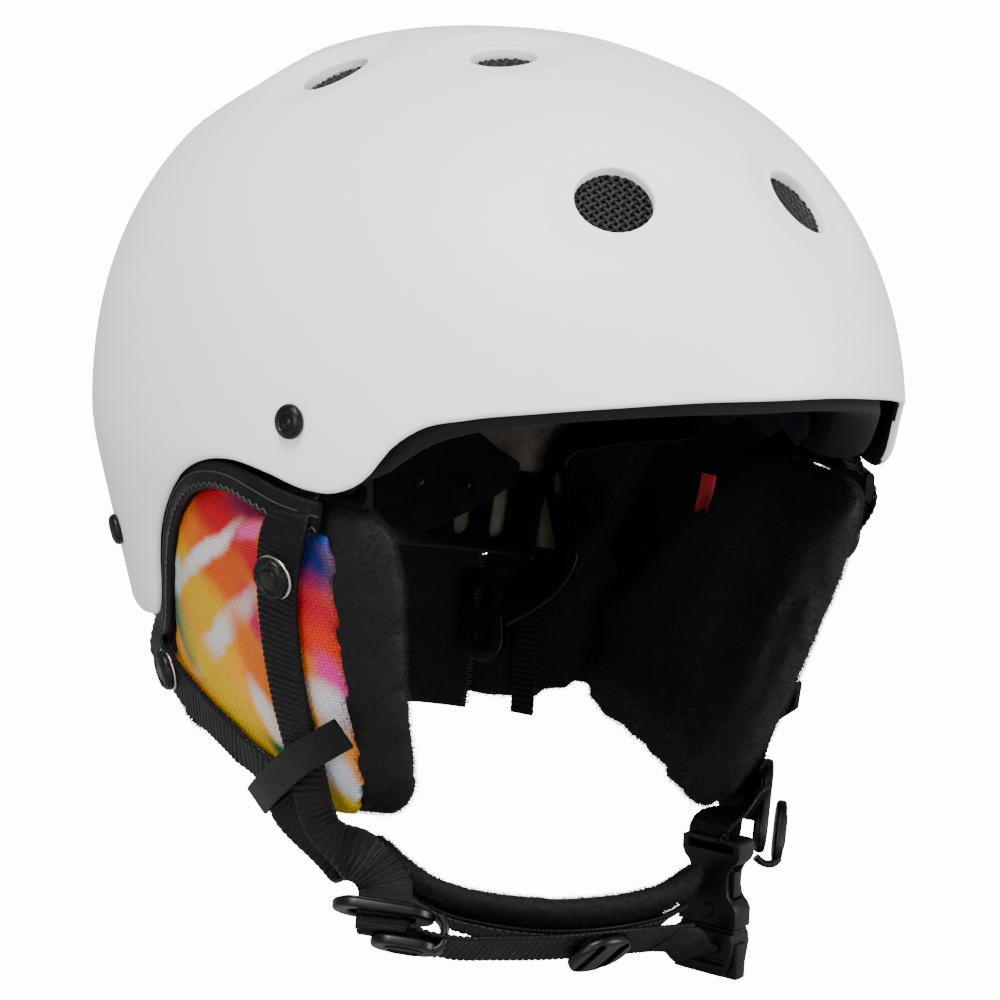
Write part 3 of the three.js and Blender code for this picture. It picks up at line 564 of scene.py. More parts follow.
def finish(name, colour, roughness, grain=1.0, depth=0.02, spread=0.10, sheen=0.0, metallic=0.0, shine=0.5,
           second=None, contrast=1.2):
    """A moulded, foamed or fleecy surface: broad shade drift, fine grain and a bump."""
    material, tree, shader = new_material(name)
    place = put(tree, "ShaderNodeTexCoord").outputs["Object"]
    grit = feed_group(tree, GRAIN, {"Coordinate": place, "Grain size": grain, "Contrast": contrast})
    darker = second or tuple(c * 0.72 for c in colour)
    tree.links.new(between(tree, grit.outputs["Shade"], darker, colour), shader.inputs["Base Color"])
    rough = maths(tree, "ADD", roughness - spread / 2,
                  maths(tree, "MULTIPLY", grit.outputs["Shade"], spread))
    tree.links.new(rough, shader.inputs["Roughness"])
    bump(tree, shader, grit.outputs["Height"], depth)
    shader.inputs["Metallic"].default_value = metallic
    shader.inputs["Sheen Weight"].default_value = sheen
    shader.inputs["Sheen Roughness"].default_value = 0.4
    shader.inputs["Specular IOR Level"].default_value = shine
    return material


def strap_finish(name, colour, roughness=0.62):
    """Woven webbing: fine threads across the ribs, read from the strap's own layout."""
    material, tree, shader = new_material(name)
    layout = put(tree, "ShaderNodeUVMap", uv_map="strap")
    parts = put(tree, "ShaderNodeSeparateXYZ", {0: layout.outputs[0]})
    weave = feed_group(tree, WEAVE, {"Across": parts.outputs["X"], "Along": parts.outputs["Y"],
                                     "Pitch": 0.55})
    place = put(tree, "ShaderNodeTexCoord").outputs["Object"]
    grit = feed_group(tree, GRAIN, {"Coordinate": place, "Grain size": 0.5, "Contrast": 1.6})
    shade = maths(tree, "MULTIPLY", weave.outputs["Height"], maths(tree, "ADD", 0.5, grit.outputs["Shade"]))
    tree.links.new(between(tree, shade, tuple(c * 0.35 for c in colour), colour),
                   shader.inputs["Base Color"])
    tree.links.new(maths(tree, "SUBTRACT", roughness + 0.12, maths(tree, "MULTIPLY", shade, 0.2)),
                   shader.inputs["Roughness"])
    bump(tree, shader, weave.outputs["Height"], 0.12)
    shader.inputs["Specular IOR Level"].default_value = 0.13
    return material


# Dye patches on the side of a pad: centre (y, z), tilt, half length, half width, colour.
DYES = [
    ((-15, -28), -28, 50, 26, (0.80, 0.10, 0.005)), ((6, -34), 75, 26, 14, (0.80, 0.36, 0.002)),
    ((-2, -24), 40, 16, 10, (0.80, 0.17, 0.004)), ((-24, -21), 25, 21, 13, (0.55, 0.001, 0.012)),
    ((-40, -16), -8, 13, 6, (0.22, 0.001, 0.06)), ((-43, -33), 75, 13, 10, (0.62, 0.004, 0.02)),
    ((-27, -41), 40, 19, 11, (0.72, 0.10, 0.004)), ((-6, -51), 32, 24, 12, (0.78, 0.46, 0.001)),
    ((-13, -35), -28, 28, 3.4, (0.80, 0.76, 0.80)), ((12, -46), -50, 9, 5, (0.55, 0.72, 0.72)),
    ((-42, -23), -30, 10, 2.6, (0.85, 0.10, 0.36)), ((21, -53), 60, 12, 8, (0.06, 0.52, 0.55)),
    ((15, -60), 40, 20, 9, (0.002, 0.16, 0.13)), ((6, -69), 40, 12, 6, (0.004, 0.18, 0.10)),
    ((-34, -49), 80, 11, 5, (0.62, 0.002, 0.10)), ((-16, -57), -35, 30, 4.6, (0.76, 0.74, 0.74)),
    ((-29, -63), 70, 19, 10, (0.80, 0.17, 0.008)), ((-8, -77), 42, 32, 10, (0.82, 0.50, 0.001)),
    ((-30, -80), 62, 13, 5, (0.78, 0.76, 0.72)), ((-31, -90), 30, 9, 4, (0.002, 0.16, 0.05)),
    ((-66, -17), 60, 12, 9, (0.002, 0.10, 0.48)), ((-63, -29), 70, 14, 11, (0.004, 0.012, 0.14)),
    ((-60, -44), 70, 13, 12, (0.58, 0.001, 0.025)), ((-59, -54), 70, 12, 11, (0.78, 0.035, 0.01)),
    ((-54, -63), 70, 10, 7, (0.85, 0.22, 0.02)), ((-61, -65), 80, 12, 5, (0.80, 0.03, 0.30)),
    ((-57, -71), 70, 9, 7, (0.78, 0.72, 0.78)), ((-54, -92), 70, 14, 8, (0.66, 0.70, 0.76)),
    ((-60, -90), 80, 11, 4, (0.85, 0.28, 0.02)), ((-49, -104), 10, 13, 7, (0.85, 0.58, 0.003)),
    ((43, -86), 60, 22, 12, (0.002, 0.26, 0.55)),
]
DYE_STRENGTH, DYE_WANDER = 0.72, 7.0
GROUND_DYE = (0.78, 0.30, 0.01, 1)


def dyed_canvas(name):
    """Printed canvas: soft patches of dye under a plain weave."""
    material, tree, shader = new_material(name)
    place = put(tree, "ShaderNodeTexCoord").outputs["Object"]
    wander = put(tree, "ShaderNodeTexNoise", {"Vector": place, "Scale": 62.0, "Detail": 2.0,
                                              "Roughness": 0.6})
    drift = put(tree, "ShaderNodeVectorMath", {0: wander.outputs["Color"], 1: (0.5, 0.5, 0.5)},
                operation="SUBTRACT")
    shift = put(tree, "ShaderNodeVectorMath", {0: drift.outputs[0], "Scale": DYE_WANDER}, operation="SCALE")
    scaled = put(tree, "ShaderNodeVectorMath", {0: place, "Scale": 1000.0}, operation="SCALE")
    moved = put(tree, "ShaderNodeVectorMath", {0: scaled.outputs[0], 1: shift.outputs[0]}, operation="ADD")
    flat = put(tree, "ShaderNodeVectorMath", {0: moved.outputs[0], 1: (0, 1, 1)}, operation="MULTIPLY")
    colour = None
    for (y, z), tilt, length, width, dye in DYES:
        spot = feed_group(tree, DYE_SPOT, {"Place": flat.outputs[0], "Centre": (0, y, z),
                                           "Tilt": math.radians(-tilt),
                                           "Half length": length, "Half width": width,
                                           "Dye": (*(c * DYE_STRENGTH for c in dye), 1)})
        if colour is None:
            spot.inputs["Under"].default_value = GROUND_DYE
        else:
            tree.links.new(colour, spot.inputs["Under"])
        colour = spot.outputs["Color"]
    parts = put(tree, "ShaderNodeSeparateXYZ", {0: place})
    weave = feed_group(tree, WEAVE, {"Across": parts.outputs["Y"], "Along": parts.outputs["Z"],
                                     "Pitch": 1.0})
    shadow = maths(tree, "MULTIPLY", maths(tree, "POWER", weave.outputs["Gap"], 2.0), 0.75)
    gapped = put(tree, "ShaderNodeMix", {"Factor": shadow}, data_type="RGBA", blend_type="MULTIPLY")
    tree.links.new(colour, gapped.inputs[6])
    gapped.inputs[7].default_value = (0.25, 0.2, 0.2, 1)
    tree.links.new(gapped.outputs[2], shader.inputs["Base Color"])
    tree.links.new(maths(tree, "ADD", 0.62, maths(tree, "MULTIPLY", weave.outputs["Gap"], 0.25)),
                   shader.inputs["Roughness"])
    bump(tree, shader, weave.outputs["Height"], 0.22)
    shader.inputs["Specular IOR Level"].default_value = 0.15
    return material


GRAIN, WEAVE, DYE_SPOT = fine_grain(), plain_weave(), dye_spot()
PAINT = {
    "shell_white": finish("shell_white", (0.84, 0.85, 0.87), 0.46, 0.35, 0.004, 0.05,
                          second=(0.81, 0.82, 0.845),
                          contrast=0.8),
    "liner_black": finish("liner_black", (0.004, 0.0042, 0.005), 0.75, 2.6, 0.12, 0.12, shine=0.2),
    "vent_black": finish("vent_black", (0.008, 0.008, 0.008), 0.5, 0.5, 0.03, 0.2, shine=0.25),
    "trim_black": finish("trim_black", (0.0018, 0.0018, 0.002), 0.36, 0.6, 0.012, 0.10, shine=0.22),
    "webbing_black": strap_finish("webbing_black", (0.0022, 0.0022, 0.0025), 0.42),
    "printed_canvas": dyed_canvas("printed_canvas"),
    "plush_black": finish("plush_black", (0.0055, 0.0055, 0.0058), 0.62, 1.0, 0.25, 0.1, shine=0.22),
    "velour_navy": finish("velour_navy", (0.005, 0.0062, 0.010), 0.85, 0.7, 0.10, 0.08, sheen=0.02,
                          shine=0.12,
                          second=(0.001, 0.0013, 0.002), contrast=2.0),
    "fleece_black": finish("fleece_black", (0.0085, 0.0085, 0.009), 0.8, 1.2, 0.20, 0.1, shine=0.15),
    "snap_metal": finish("snap_metal", (0.55, 0.50, 0.42), 0.28, 0.6, 0.006, 0.12, metallic=1.0),
    "tag_red": finish("tag_red", (0.42, 0.012, 0.020), 0.7, 0.5, 0.05, 0.1),
}
SATIN_TAPE = finish("satin_tape", (0.003, 0.003, 0.0034), 0.5, 0.45, 0.06, 0.2, shine=0.14)
FOAM_GREY = finish("open_cell_foam", (0.13, 0.115, 0.095), 0.95, 1.7, 0.8, 0.05,
                   second=(0.002, 0.002, 0.002),
                   contrast=3.0)
THREAD = finish("sewing_thread", (0.02, 0.02, 0.021), 0.5, 0.3, 0.02, 0.1)


# ---------------------------------------------------------------- geometry node trees
def geometry_tree(name, inputs):
    tree = bpy.data.node_groups.new(name, "GeometryNodeTree")
    tree.interface.new_socket("Geometry", in_out="INPUT", socket_type="NodeSocketGeometry")
    sockets(tree, "INPUT", inputs)
    tree.interface.new_socket("Geometry", in_out="OUTPUT", socket_type="NodeSocketGeometry")
    return tree, tree.nodes.new("NodeGroupInput").outputs, tree.nodes.new("NodeGroupOutput").inputs


def close_tree(tree, given, made, geometry):
    real = put(tree, "GeometryNodeRealizeInstances", {"Geometry": geometry})
    painted = put(tree, "GeometryNodeSetMaterial", {"Geometry": real.outputs[0],
                                                    "Material": given["Material"]})
    tree.links.new(painted.outputs[0], made[0])
    return tree


def row_tree():
    """Small round bars set at an even spacing along a path, leaning left and right in turn."""
    tree, given, made = geometry_tree("bar_row", [
        ("Spacing", "Float", 0.002), ("Bar length", "Float", 0.002), ("Bar radius", "Float", 0.0003),
        ("Lean", "Float", 0.0), ("Material", "Material", None)])
    path = put(tree, "GeometryNodeMeshToCurve", {"Mesh": given["Geometry"]})
    spaced = put(tree, "GeometryNodeResampleCurve", {"Curve": path.outputs[0], "Length": given["Spacing"]},
                 mode="LENGTH")
    half = maths(tree, "MULTIPLY", given["Bar length"], 0.5)
    ends = [put(tree, "ShaderNodeCombineXYZ", {0: x}).outputs[0] for x in (maths(tree, "MULTIPLY", half,
                                                                                 -1.0), half)]
    line = put(tree, "GeometryNodeCurvePrimitiveLine", {"Start": ends[0], "End": ends[1]})
    circle = put(tree, "GeometryNodeCurvePrimitiveCircle", {"Resolution": 6, "Radius": given["Bar radius"]})
    bar = put(tree, "GeometryNodeCurveToMesh", {"Curve": line.outputs[0],
                                                "Profile Curve": circle.outputs[0],
                                                "Fill Caps": True})
    ahead = put(tree, "GeometryNodeInputTangent")
    out = put(tree, "GeometryNodeInputNamedAttribute", {"Name": "out"}, data_type="FLOAT_VECTOR")
    facing = put(tree, "FunctionNodeAxesToRotation", {0: ahead.outputs[0], 1: out.outputs["Attribute"]},
                 primary_axis="X", secondary_axis="Z")
    step = put(tree, "GeometryNodeInputIndex")
    sign = maths(tree, "SUBTRACT", maths(tree, "MULTIPLY", maths(tree, "PINGPONG", step.outputs[0], 1.0),
                                         2.0), 1.0)
    tilt = put(tree, "ShaderNodeCombineXYZ", {2: maths(tree, "MULTIPLY", sign, given["Lean"])})
    lean = put(tree, "FunctionNodeEulerToRotation", {0: tilt.outputs[0]})
    turned = put(tree, "FunctionNodeRotateRotation", {0: facing.outputs[0], 1: lean.outputs[0]},
                 rotation_space="LOCAL")
    placed = put(tree, "GeometryNodeInstanceOnPoints",
                 {"Points": spaced.outputs[0], "Instance": bar.outputs[0],
                  "Rotation": turned.outputs[0]})
    return close_tree(tree, given, made, placed.outputs[0])


def pile_tree():
    """Short tapered fibres spread over a surface, leaning at random."""
    tree, given, made = geometry_tree("fibre_pile", [
        ("Density", "Float", 2e6), ("Fibre length", "Float", 0.003), ("Fibre radius", "Float", 0.00015),
        ("Lean", "Float", 0.5), ("Seed", "Int", 3), ("Material", "Material", None)])
    spread = put(tree, "GeometryNodeDistributePointsOnFaces",
                 {"Mesh": given["Geometry"], "Density": given["Density"],
                  "Seed": given["Seed"]},
                 distribute_method="RANDOM")
    fibre = put(tree, "GeometryNodeMeshCone", {"Vertices": 3, "Side Segments": 1,
                                               "Radius Top": 0.0, "Radius Bottom": given["Fibre radius"],
                                               "Depth": given["Fibre length"]}, fill_type="NONE")
    stray = put(tree, "FunctionNodeRandomValue", {"Min": (-1, -1, -1), "Max": (1, 1, 1),
                                                  "Seed": given["Seed"]},
                data_type="FLOAT_VECTOR")
    swirl = put(tree, "ShaderNodeTexNoise", {"Vector": put(tree, "GeometryNodeInputPosition").outputs[0],
                                             "Scale": 55.0})
    wave = put(tree, "ShaderNodeVectorMath", {0: swirl.outputs["Color"], 1: (0.5, 0.5, 0.62)},
               operation="SUBTRACT")
    comb = put(tree, "ShaderNodeVectorMath", {0: wave.outputs[0], "Scale": 4.5}, operation="SCALE")
    loose = put(tree, "ShaderNodeVectorMath", {0: stray.outputs["Value"], 1: comb.outputs[0]},
                operation="ADD")
    leaning = put(tree, "ShaderNodeVectorMath", {0: loose.outputs[0], "Scale": given["Lean"]},
                  operation="SCALE")
    aim = put(tree, "ShaderNodeVectorMath", {0: spread.outputs["Normal"], 1: leaning.outputs[0]},
              operation="ADD")
    facing = put(tree, "FunctionNodeAlignRotationToVector", {"Vector": aim.outputs[0]}, axis="Z")
    placed = put(tree, "GeometryNodeInstanceOnPoints",
                 {"Points": spread.outputs["Points"], "Instance": fibre.outputs[0],
                  "Rotation": facing.outputs[0]})
    return close_tree(tree, given, made, placed.outputs[0])


def weave_tree():
    """A round piece of open basket weave, flat in XY: wavy strands in two directions."""
    tree, given, made = geometry_tree("vent_weave", [
        ("Pitch", "Float", 0.0019), ("Radius", "Float", 0.0126), ("Strand radius", "Float", 0.00062),
        ("Wave", "Float", 0.00034), ("Material", "Material", None)])
    reach = maths(tree, "MULTIPLY", given["Radius"], -1.0)
    ends = [put(tree, "ShaderNodeCombineXYZ", {0: x}).outputs[0] for x in (reach, given["Radius"])]
    line = put(tree, "GeometryNodeCurvePrimitiveLine", {"Start": ends[0], "End": ends[1]})
    fine = put(tree, "GeometryNodeResampleCurve", {"Curve": line.outputs[0], "Count": 44})
    x = put(tree, "ShaderNodeSeparateXYZ", {0: put(tree,
                                                   "GeometryNodeInputPosition").outputs[0]}).outputs["X"]
    phase = maths(tree, "MULTIPLY", maths(tree, "DIVIDE", x, given["Pitch"]), math.pi)
    rise = put(tree, "ShaderNodeCombineXYZ", {2: maths(tree, "MULTIPLY", maths(tree, "COSINE", phase),
                                                       given["Wave"])})
    wavy = put(tree, "GeometryNodeSetPosition", {"Geometry": fine.outputs[0], "Offset": rise.outputs[0]})
    circle = put(tree, "GeometryNodeCurvePrimitiveCircle",
                 {"Resolution": 6, "Radius": given["Strand radius"]})
    strand = put(tree, "GeometryNodeCurveToMesh", {"Curve": wavy.outputs[0],
                                                   "Profile Curve": circle.outputs[0],
                                                   "Fill Caps": True})
    start = put(tree, "ShaderNodeCombineXYZ", {1: maths(tree, "MULTIPLY", given["Pitch"], -6.0)})
    gap = put(tree, "ShaderNodeCombineXYZ", {1: given["Pitch"]})
    rail = put(tree, "GeometryNodeMeshLine", {"Count": 13, "Start Location": start.outputs[0],
                                              "Offset": gap.outputs[0]})
    flip = maths(tree, "MULTIPLY", maths(tree, "PINGPONG", put(tree, "GeometryNodeInputIndex").outputs[0],
                                         1.0), math.pi)
    rolled = put(tree, "FunctionNodeEulerToRotation",
                 {0: put(tree, "ShaderNodeCombineXYZ", {0: flip}).outputs[0]})
    weft = put(tree, "GeometryNodeInstanceOnPoints",
               {"Points": rail.outputs[0], "Instance": strand.outputs[0],
                "Rotation": rolled.outputs[0]})
    weft_real = put(tree, "GeometryNodeRealizeInstances", {"Geometry": weft.outputs[0]})
    warp = put(tree, "GeometryNodeTransform", {"Geometry": weft_real.outputs[0],
                                               "Rotation": (math.pi, 0, math.pi / 2)})
    both = put(tree, "GeometryNodeJoinGeometry")
    tree.links.new(weft_real.outputs[0], both.inputs[0])
    tree.links.new(warp.outputs[0], both.inputs[0])
    place = put(tree, "ShaderNodeVectorMath", {0: put(tree, "GeometryNodeInputPosition").outputs[0],
                                               1: (1, 1, 0)},
                operation="MULTIPLY")
    span = put(tree, "ShaderNodeVectorMath", {0: place.outputs[0]}, operation="LENGTH")
    outside = put(tree, "FunctionNodeCompare", {"A": span.outputs["Value"], "B": given["Radius"]},
                  operation="GREATER_THAN")
    round_piece = put(tree, "GeometryNodeDeleteGeometry",
                      {"Geometry": both.outputs[0], "Selection": outside.outputs[0]})
    return close_tree(tree, given, made, round_piece.outputs[0])


BAR_ROW, FIBRE_PILE, VENT_WEAVE = row_tree(), pile_tree(), weave_tree()


def grow(name, base, tree, values):
    """Runs a geometry tree on a base object and keeps the result as a plain mesh."""
    modifier = base.modifiers.new("grow", "NODES")
    modifier.node_group = tree
    names = {item.name: item.identifier for item in tree.interface.items_tree if item.in_out == "INPUT"}
    for key, value in values.items():
        modifier[names[key]] = value
    seen = bpy.context.evaluated_depsgraph_get()
    mesh = bpy.data.meshes.new_from_object(base.evaluated_get(seen))
    base.modifiers.clear()
    piece = bpy.data.objects.new(name, mesh)
    bpy.context.collection.objects.link(piece)
    mesh.shade_smooth()
    return piece


def bars_on_path(name, path, out, spacing, length, radius, lean, material, closed=False):
    """Stitches or knurls along a path of points, in millimetres, with the direction out of the surface."""
    mesh = bpy.data.meshes.new(name)
    edges = [(i, i + 1) for i in range(len(path) - 1)] + ([(len(path) - 1, 0)] if closed else [])
    mesh.from_pydata((np.asarray(path) * MM).tolist(), edges, [])
    facing = mesh.attributes.new("out", "FLOAT_VECTOR", "POINT")
    facing.data.foreach_set("vector", np.broadcast_to(out, np.shape(path)).astype(np.float32).ravel())
    base = bpy.data.objects.new(name, mesh)
    bpy.context.collection.objects.link(base)
    piece = grow(name, base, BAR_ROW, {"Spacing": spacing * MM, "Bar length": length * MM,
                                       "Bar radius": radius * MM,
                                       "Lean": lean, "Material": material})
    bpy.data.objects.remove(base)
    return piece


def pile_on(name, base, length, density, material, radius=0.11, lean=0.55, seed=3):
    return grow(name, base, FIBRE_PILE, {"Density": density * 1e6, "Fibre length": length * MM,
                                         "Fibre radius": radius * MM, "Lean": lean, "Seed": seed,
                                         "Material": material})


def settle(piece, body, slot, *nodes):
    """Rides a finished piece on its body and hides the CAD nodes it stands for; the slot it is given is not
    used.
    """
    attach(piece, body)
    if nodes:
        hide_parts(*nodes)
    return piece


def join_into(name, pieces):
    """Joins finished meshes that share one body into one piece."""
    with bpy.context.temp_override(active_object=pieces[0], selected_editable_objects=pieces,
                                   object=pieces[0]):
        bpy.ops.object.join()
    pieces[0].name = name
    return pieces[0]


FILL_FRAMES = 20


def puff(piece, pressure, cap, voxel=0.004):
    """Fills a padded piece by cloth simulation, then smooths it; no point moves further than the cap."""
    remesh = piece.modifiers.new("even", "REMESH")
    remesh.mode, remesh.voxel_size = "VOXEL", voxel
    apply_modifiers(piece)
    start = np.array([v.co for v in piece.data.vertices])
    cloth = piece.modifiers.new("fill", "CLOTH")
    cloth.settings.use_pressure = True
    cloth.settings.uniform_pressure_force = pressure
    cloth.settings.effector_weights.gravity = 0
    cloth.settings.quality = 4
    cloth.settings.tension_stiffness = cloth.settings.compression_stiffness = 18
    cloth.settings.bending_stiffness = 0.6
    scene = bpy.context.scene
    for number in range(1, FILL_FRAMES + 1):
        scene.frame_set(number)
    apply_modifiers(piece)
    scene.frame_set(1)
    now = np.array([v.co for v in piece.data.vertices])
    move = now - start
    size = np.linalg.norm(move, axis=1, keepdims=True)
    move *= np.minimum(1, cap * MM / np.maximum(size, 1e-9))
    piece.data.vertices.foreach_set("co", (start + move).ravel())
    finer = piece.modifiers.new("finer", "SUBSURF")
    finer.levels = finer.render_levels = 1
    apply_modifiers(piece)
    piece.data.shade_smooth()
    return piece


# ---------------------------------------------------------------- vents and shell
VENT_PLACES = [
    ("front", 31.6, -109.6, 10.7), ("top_front", 25.7, -42.0, 9.4), ("side", 56.8, 0.5, 10.0),
    ("rear_side", 54, 53, 10.8), ("rear", 30, 108, 11.2),
]


def dome_height(x, y, inset=0.0):
    plan = np.abs(x / (HALF_WIDTH - inset)) ** PLAN_POWER + np.abs(y / (HALF_LENGTH - inset)) ** PLAN_POWER
    rise = np.maximum(0, 1 - plan ** (PROFILE_POWER / PLAN_POWER)) ** (1 / PROFILE_POWER)
    return (DOME_HEIGHT - inset) * rise


def dome_normal(point):
    p = np.asarray(point, float)
    x, y = np.abs(p[..., 0] / HALF_WIDTH), np.abs(p[..., 1] / HALF_LENGTH)
    plan = np.maximum(x**PLAN_POWER + y**PLAN_POWER, 1e-9) ** (PROFILE_POWER / PLAN_POWER - 1)
    return unit(np.stack([
        np.sign(p[..., 0]) * plan * x ** (PLAN_POWER - 1) / HALF_WIDTH,
        np.sign(p[..., 1]) * plan * y ** (PLAN_POWER - 1) / HALF_LENGTH,
        np.maximum(0, p[..., 2] / DOME_HEIGHT) ** (PROFILE_POWER - 1) / DOME_HEIGHT,
    ], -1))


def vent_list():
    vents = [("crown", np.array([0, 38, float(dome_height(0, 38))]), 10.8)]
    for name, x, y, radius in VENT_PLACES:
        for side, sign in (("right", -1), ("left", 1)):
            vents.append((f"{name}_{side}", np.array([x * sign, y, float(dome_height(x, y))]), radius))
    return [(name, point, radius, dome_normal(point)) for name, point, radius in vents]


VENTS = vent_list()
RIVET_BORE, LINER_CHANNEL = [(2.35, -6), (2.35, 6)], [(9.5, -40), (9.5, 6)]
WEAVE_DEPTH, COLLAR_DEPTH, COLLAR_HEIGHT = 6.6, 5.0, 4.4
RIVET_PLACES = [("front", 65, 9.8), ("rear", 112.4, -39)]
SNAP_PLACES = [("front", 67.9, -33.5), ("rear", 101.2, -76.8)]
DIMPLE_DEPTH, DIMPLE_REACH, LIP = 2.2, 13.0, 0.9


def dimpled(points):
    """Sinks the shell softly round each vent."""
    out = points.copy()
    for _, centre, radius, normal in VENTS:
        far = np.linalg.norm(points - centre, axis=-1)
        out -= (DIMPLE_DEPTH * (1 - ease(far, radius + 0.5, radius + DIMPLE_REACH)))[..., None] * normal
    return out


def vent_cutter(centre, radius, normal):
    """A bore with a rounded mouth that follows the sunk surface round the vent."""
    side = unit(np.cross(normal, [0, 1, 0.2]))
    other = np.cross(normal, side)
    turn = np.linspace(0, 2 * math.pi, 72, endpoint=False)
    spoke = np.outer(np.cos(turn), side) + np.outer(np.sin(turn), other)
    flat = centre + (radius + LIP) * spoke
    low, high = np.full(72, -6.0), np.full(72, 3.0)
    for _ in range(24):
        mid = (low + high) / 2
        p = flat + mid[:, None] * normal
        inside = p[:, 2] < dome_height(p[:, 0], p[:, 1])
        low, high = np.where(inside, mid, low), np.where(inside, high, mid)
    level = low - DIMPLE_DEPTH
    rings = [(radius, np.full(72, -14.0)), (radius, level - LIP)]
    for t in np.radians([18, 36, 54, 70, 82]):
        rings.append((radius + LIP * (1 - math.cos(t)), level - LIP + LIP * math.sin(t)))
    rings.append((rings[-1][0] + 0.1, np.full(72, 9.0)))
    points = np.concatenate([centre + r * spoke + h[:, None] * normal for r, h in rings])
    return make_mesh("cutter", points, grid_faces(len(rings), 72, wrap=True)
                     + [range(72), range(72 * (len(rings) - 1), 72 * len(rings))])


def bowl(name, edge, outer, inner, columns, rows, material, shape=None, lip=None):
    """An open dome with thickness and a rounded lower edge."""
    lip = lip or (inner - outer) / 2
    angle = np.linspace(0, 360, columns, endpoint=False)
    rim = smooth_table(edge, fold(angle))
    mid = (inner + outer) / 2
    half = (inner - outer) / 2
    layers = []
    for inset, order in ((outer, range(rows - 1, -1, -1)), (inner, range(rows))):
        climb = np.sin(np.arange(rows) / rows * math.pi / 2)
        rings = [dome(angle, rim + lip + (DOME_HEIGHT - inset - rim - lip) * climb[r],
                      inset) for r in order]
        layers.append(rings)
    turns = np.linspace(0, math.pi, 8)[1:-1]
    edge_rings = [dome(angle, rim + lip - lip * math.sin(t), mid - half * math.cos(t)) for t in turns]
    rings = layers[0] + edge_rings + layers[1]
    points = np.stack(rings)
    if shape:
        points = shape(points)
    poles = np.array([[0, 0, DOME_HEIGHT - outer], [0, 0, DOME_HEIGHT - inner]])
    count = len(rings) * columns
    faces = grid_faces(len(rings), columns, wrap=True)
    faces += [((c + 1) % columns, c, count) for c in range(columns)]
    faces += [(count - columns + c, count - columns + (c + 1) % columns, count + 1) for c in range(columns)]
    return make_mesh(name, np.concatenate([points.reshape(-1, 3), poles]), faces, material, 50)


def build_shell():
    shell = bowl("shell", RIM, 0.0, SHELL_WALL, 300, 64, PAINT["shell_white"], dimpled)
    cutters = [vent_cutter(centre, radius, normal) for _, centre, radius, normal in VENTS]
    for _, angle, z in RIVET_PLACES:
        for theta in (angle, 360 - angle):
            normal = out_of(dome, theta, z)
            cutters.append(lathe("cutter", RIVET_BORE, dome(theta, z), normal, segments=24))
    cut_away(shell, cutters, 48)
    shell.data.materials.append(PAINT["liner_black"])
    for face in shell.data.polygons:
        away = unit(np.array(face.center) / MM - (0, 0, -10))
        if np.dot(np.array(face.normal), away) < -0.35:
            face.material_index = len(shell.data.materials) - 1
    settle(shell, "helmet", "shell_white", "outer_shell")
    liner = bowl("liner", LINER_EDGE, LINER_OUTER, LINER_INNER, 160, 34, PAINT["liner_black"], lip=2.5)
    cutters = [lathe("cutter", LINER_CHANNEL, centre, normal, segments=32) for _, centre, _,
               normal in VENTS]
    settle(cut_away(liner, cutters), "helmet", "liner_black", "impact_liner")


def build_vents():
    base = bpy.data.objects.new("weave_base", bpy.data.meshes.new("weave_base"))
    bpy.context.collection.objects.link(base)
    for name, centre, radius, normal in VENTS:
        side = unit(np.cross([0, 1, 0], normal))
        across = 2 * radius
        collar = oval_plate(f"vent_collar_{name}", across + 2.8, across + 2.4, COLLAR_HEIGHT,
                            plate_frame(centre, side, normal), (0, 0, -COLLAR_DEPTH), PAINT["shell_white"],
                            (across + 0.5, across + 0.1), 0.4)
        settle(collar, "helmet", "shell_white")
        piece = grow(f"vent_weave_{name}", base, VENT_WEAVE, {"Material": PAINT["vent_black"]})
        turn = Matrix([[*row, 0] for row in np.stack([side, np.cross(normal, side), normal], 1)] + [[0, 0,
                                                                                                     0, 1]])
        piece.data.transform(Matrix.Translation((centre - normal * WEAVE_DEPTH) * MM) @ turn)
        settle(piece, "helmet", "vent_black", f"vent_mesh_{name}")
    bpy.data.objects.remove(base)


# ---------------------------------------------------------------- rivets and snaps
# Turned profiles: radius, height above the surface.
RIVET_PROFILE = [
    (2.0, -2.9), (2.0, 0.2), (4.5, 0.25), (4.8, 0.7), (4.75, 1.4), (4.4, 2.0), (3.7, 2.5), (2.9, 2.75),
    (2.7, 2.45), (2.2, 2.35), (1.6, 2.4), (1.3, 2.7), (0.5, 2.8),
]
SNAP_RING = [(5.2, 0.6), (6.3, 0.7), (6.55, 1.05), (6.4, 1.4), (5.4, 1.6)]
SNAP_CAP = [
    (5.3, 1.3), (5.9, 1.6), (6.0, 2.4), (5.7, 3.1), (5.1, 3.6), (4.3, 3.75), (4.0, 3.35), (3.2, 3.25),
    (2.9, 3.6), (2.2, 3.75), (1.0, 3.8),
]
KNURL_RINGS = [(5.95, 2.2), (5.6, 3.05), (4.8, 3.65)]


def ring_path(centre, normal, radius, count=48):
    side = unit(np.cross(normal, [0.3, 0.2, 0.93]))
    other = np.cross(normal, side)
    turn = np.linspace(0, 2 * math.pi, count, endpoint=False)
    return np.asarray(centre) + radius * (np.outer(np.cos(turn), side) + np.outer(np.sin(turn), other))


def build_rivets():
    for name, angle, z in RIVET_PLACES:
        for side, theta in (("right", angle), ("left", 360 - angle)):
            centre, normal = dome(theta, z), out_of(dome, theta, z)
            head = lathe(f"rivet_{name}_{side}", RIVET_PROFILE, centre, normal, PAINT["trim_black"], 40, 55)
            path = ring_path(centre + normal * 2.0, normal, 4.2, 28)
            ticks = bars_on_path("ticks", path, normal, 0.95, 0.42, 0.24, 0.0, PAINT["trim_black"], True)
            settle(join_into(f"rivet_{name}_{side}", [head, ticks]), "helmet", "trim_black",
                   f"rivet_{name}_{side}")


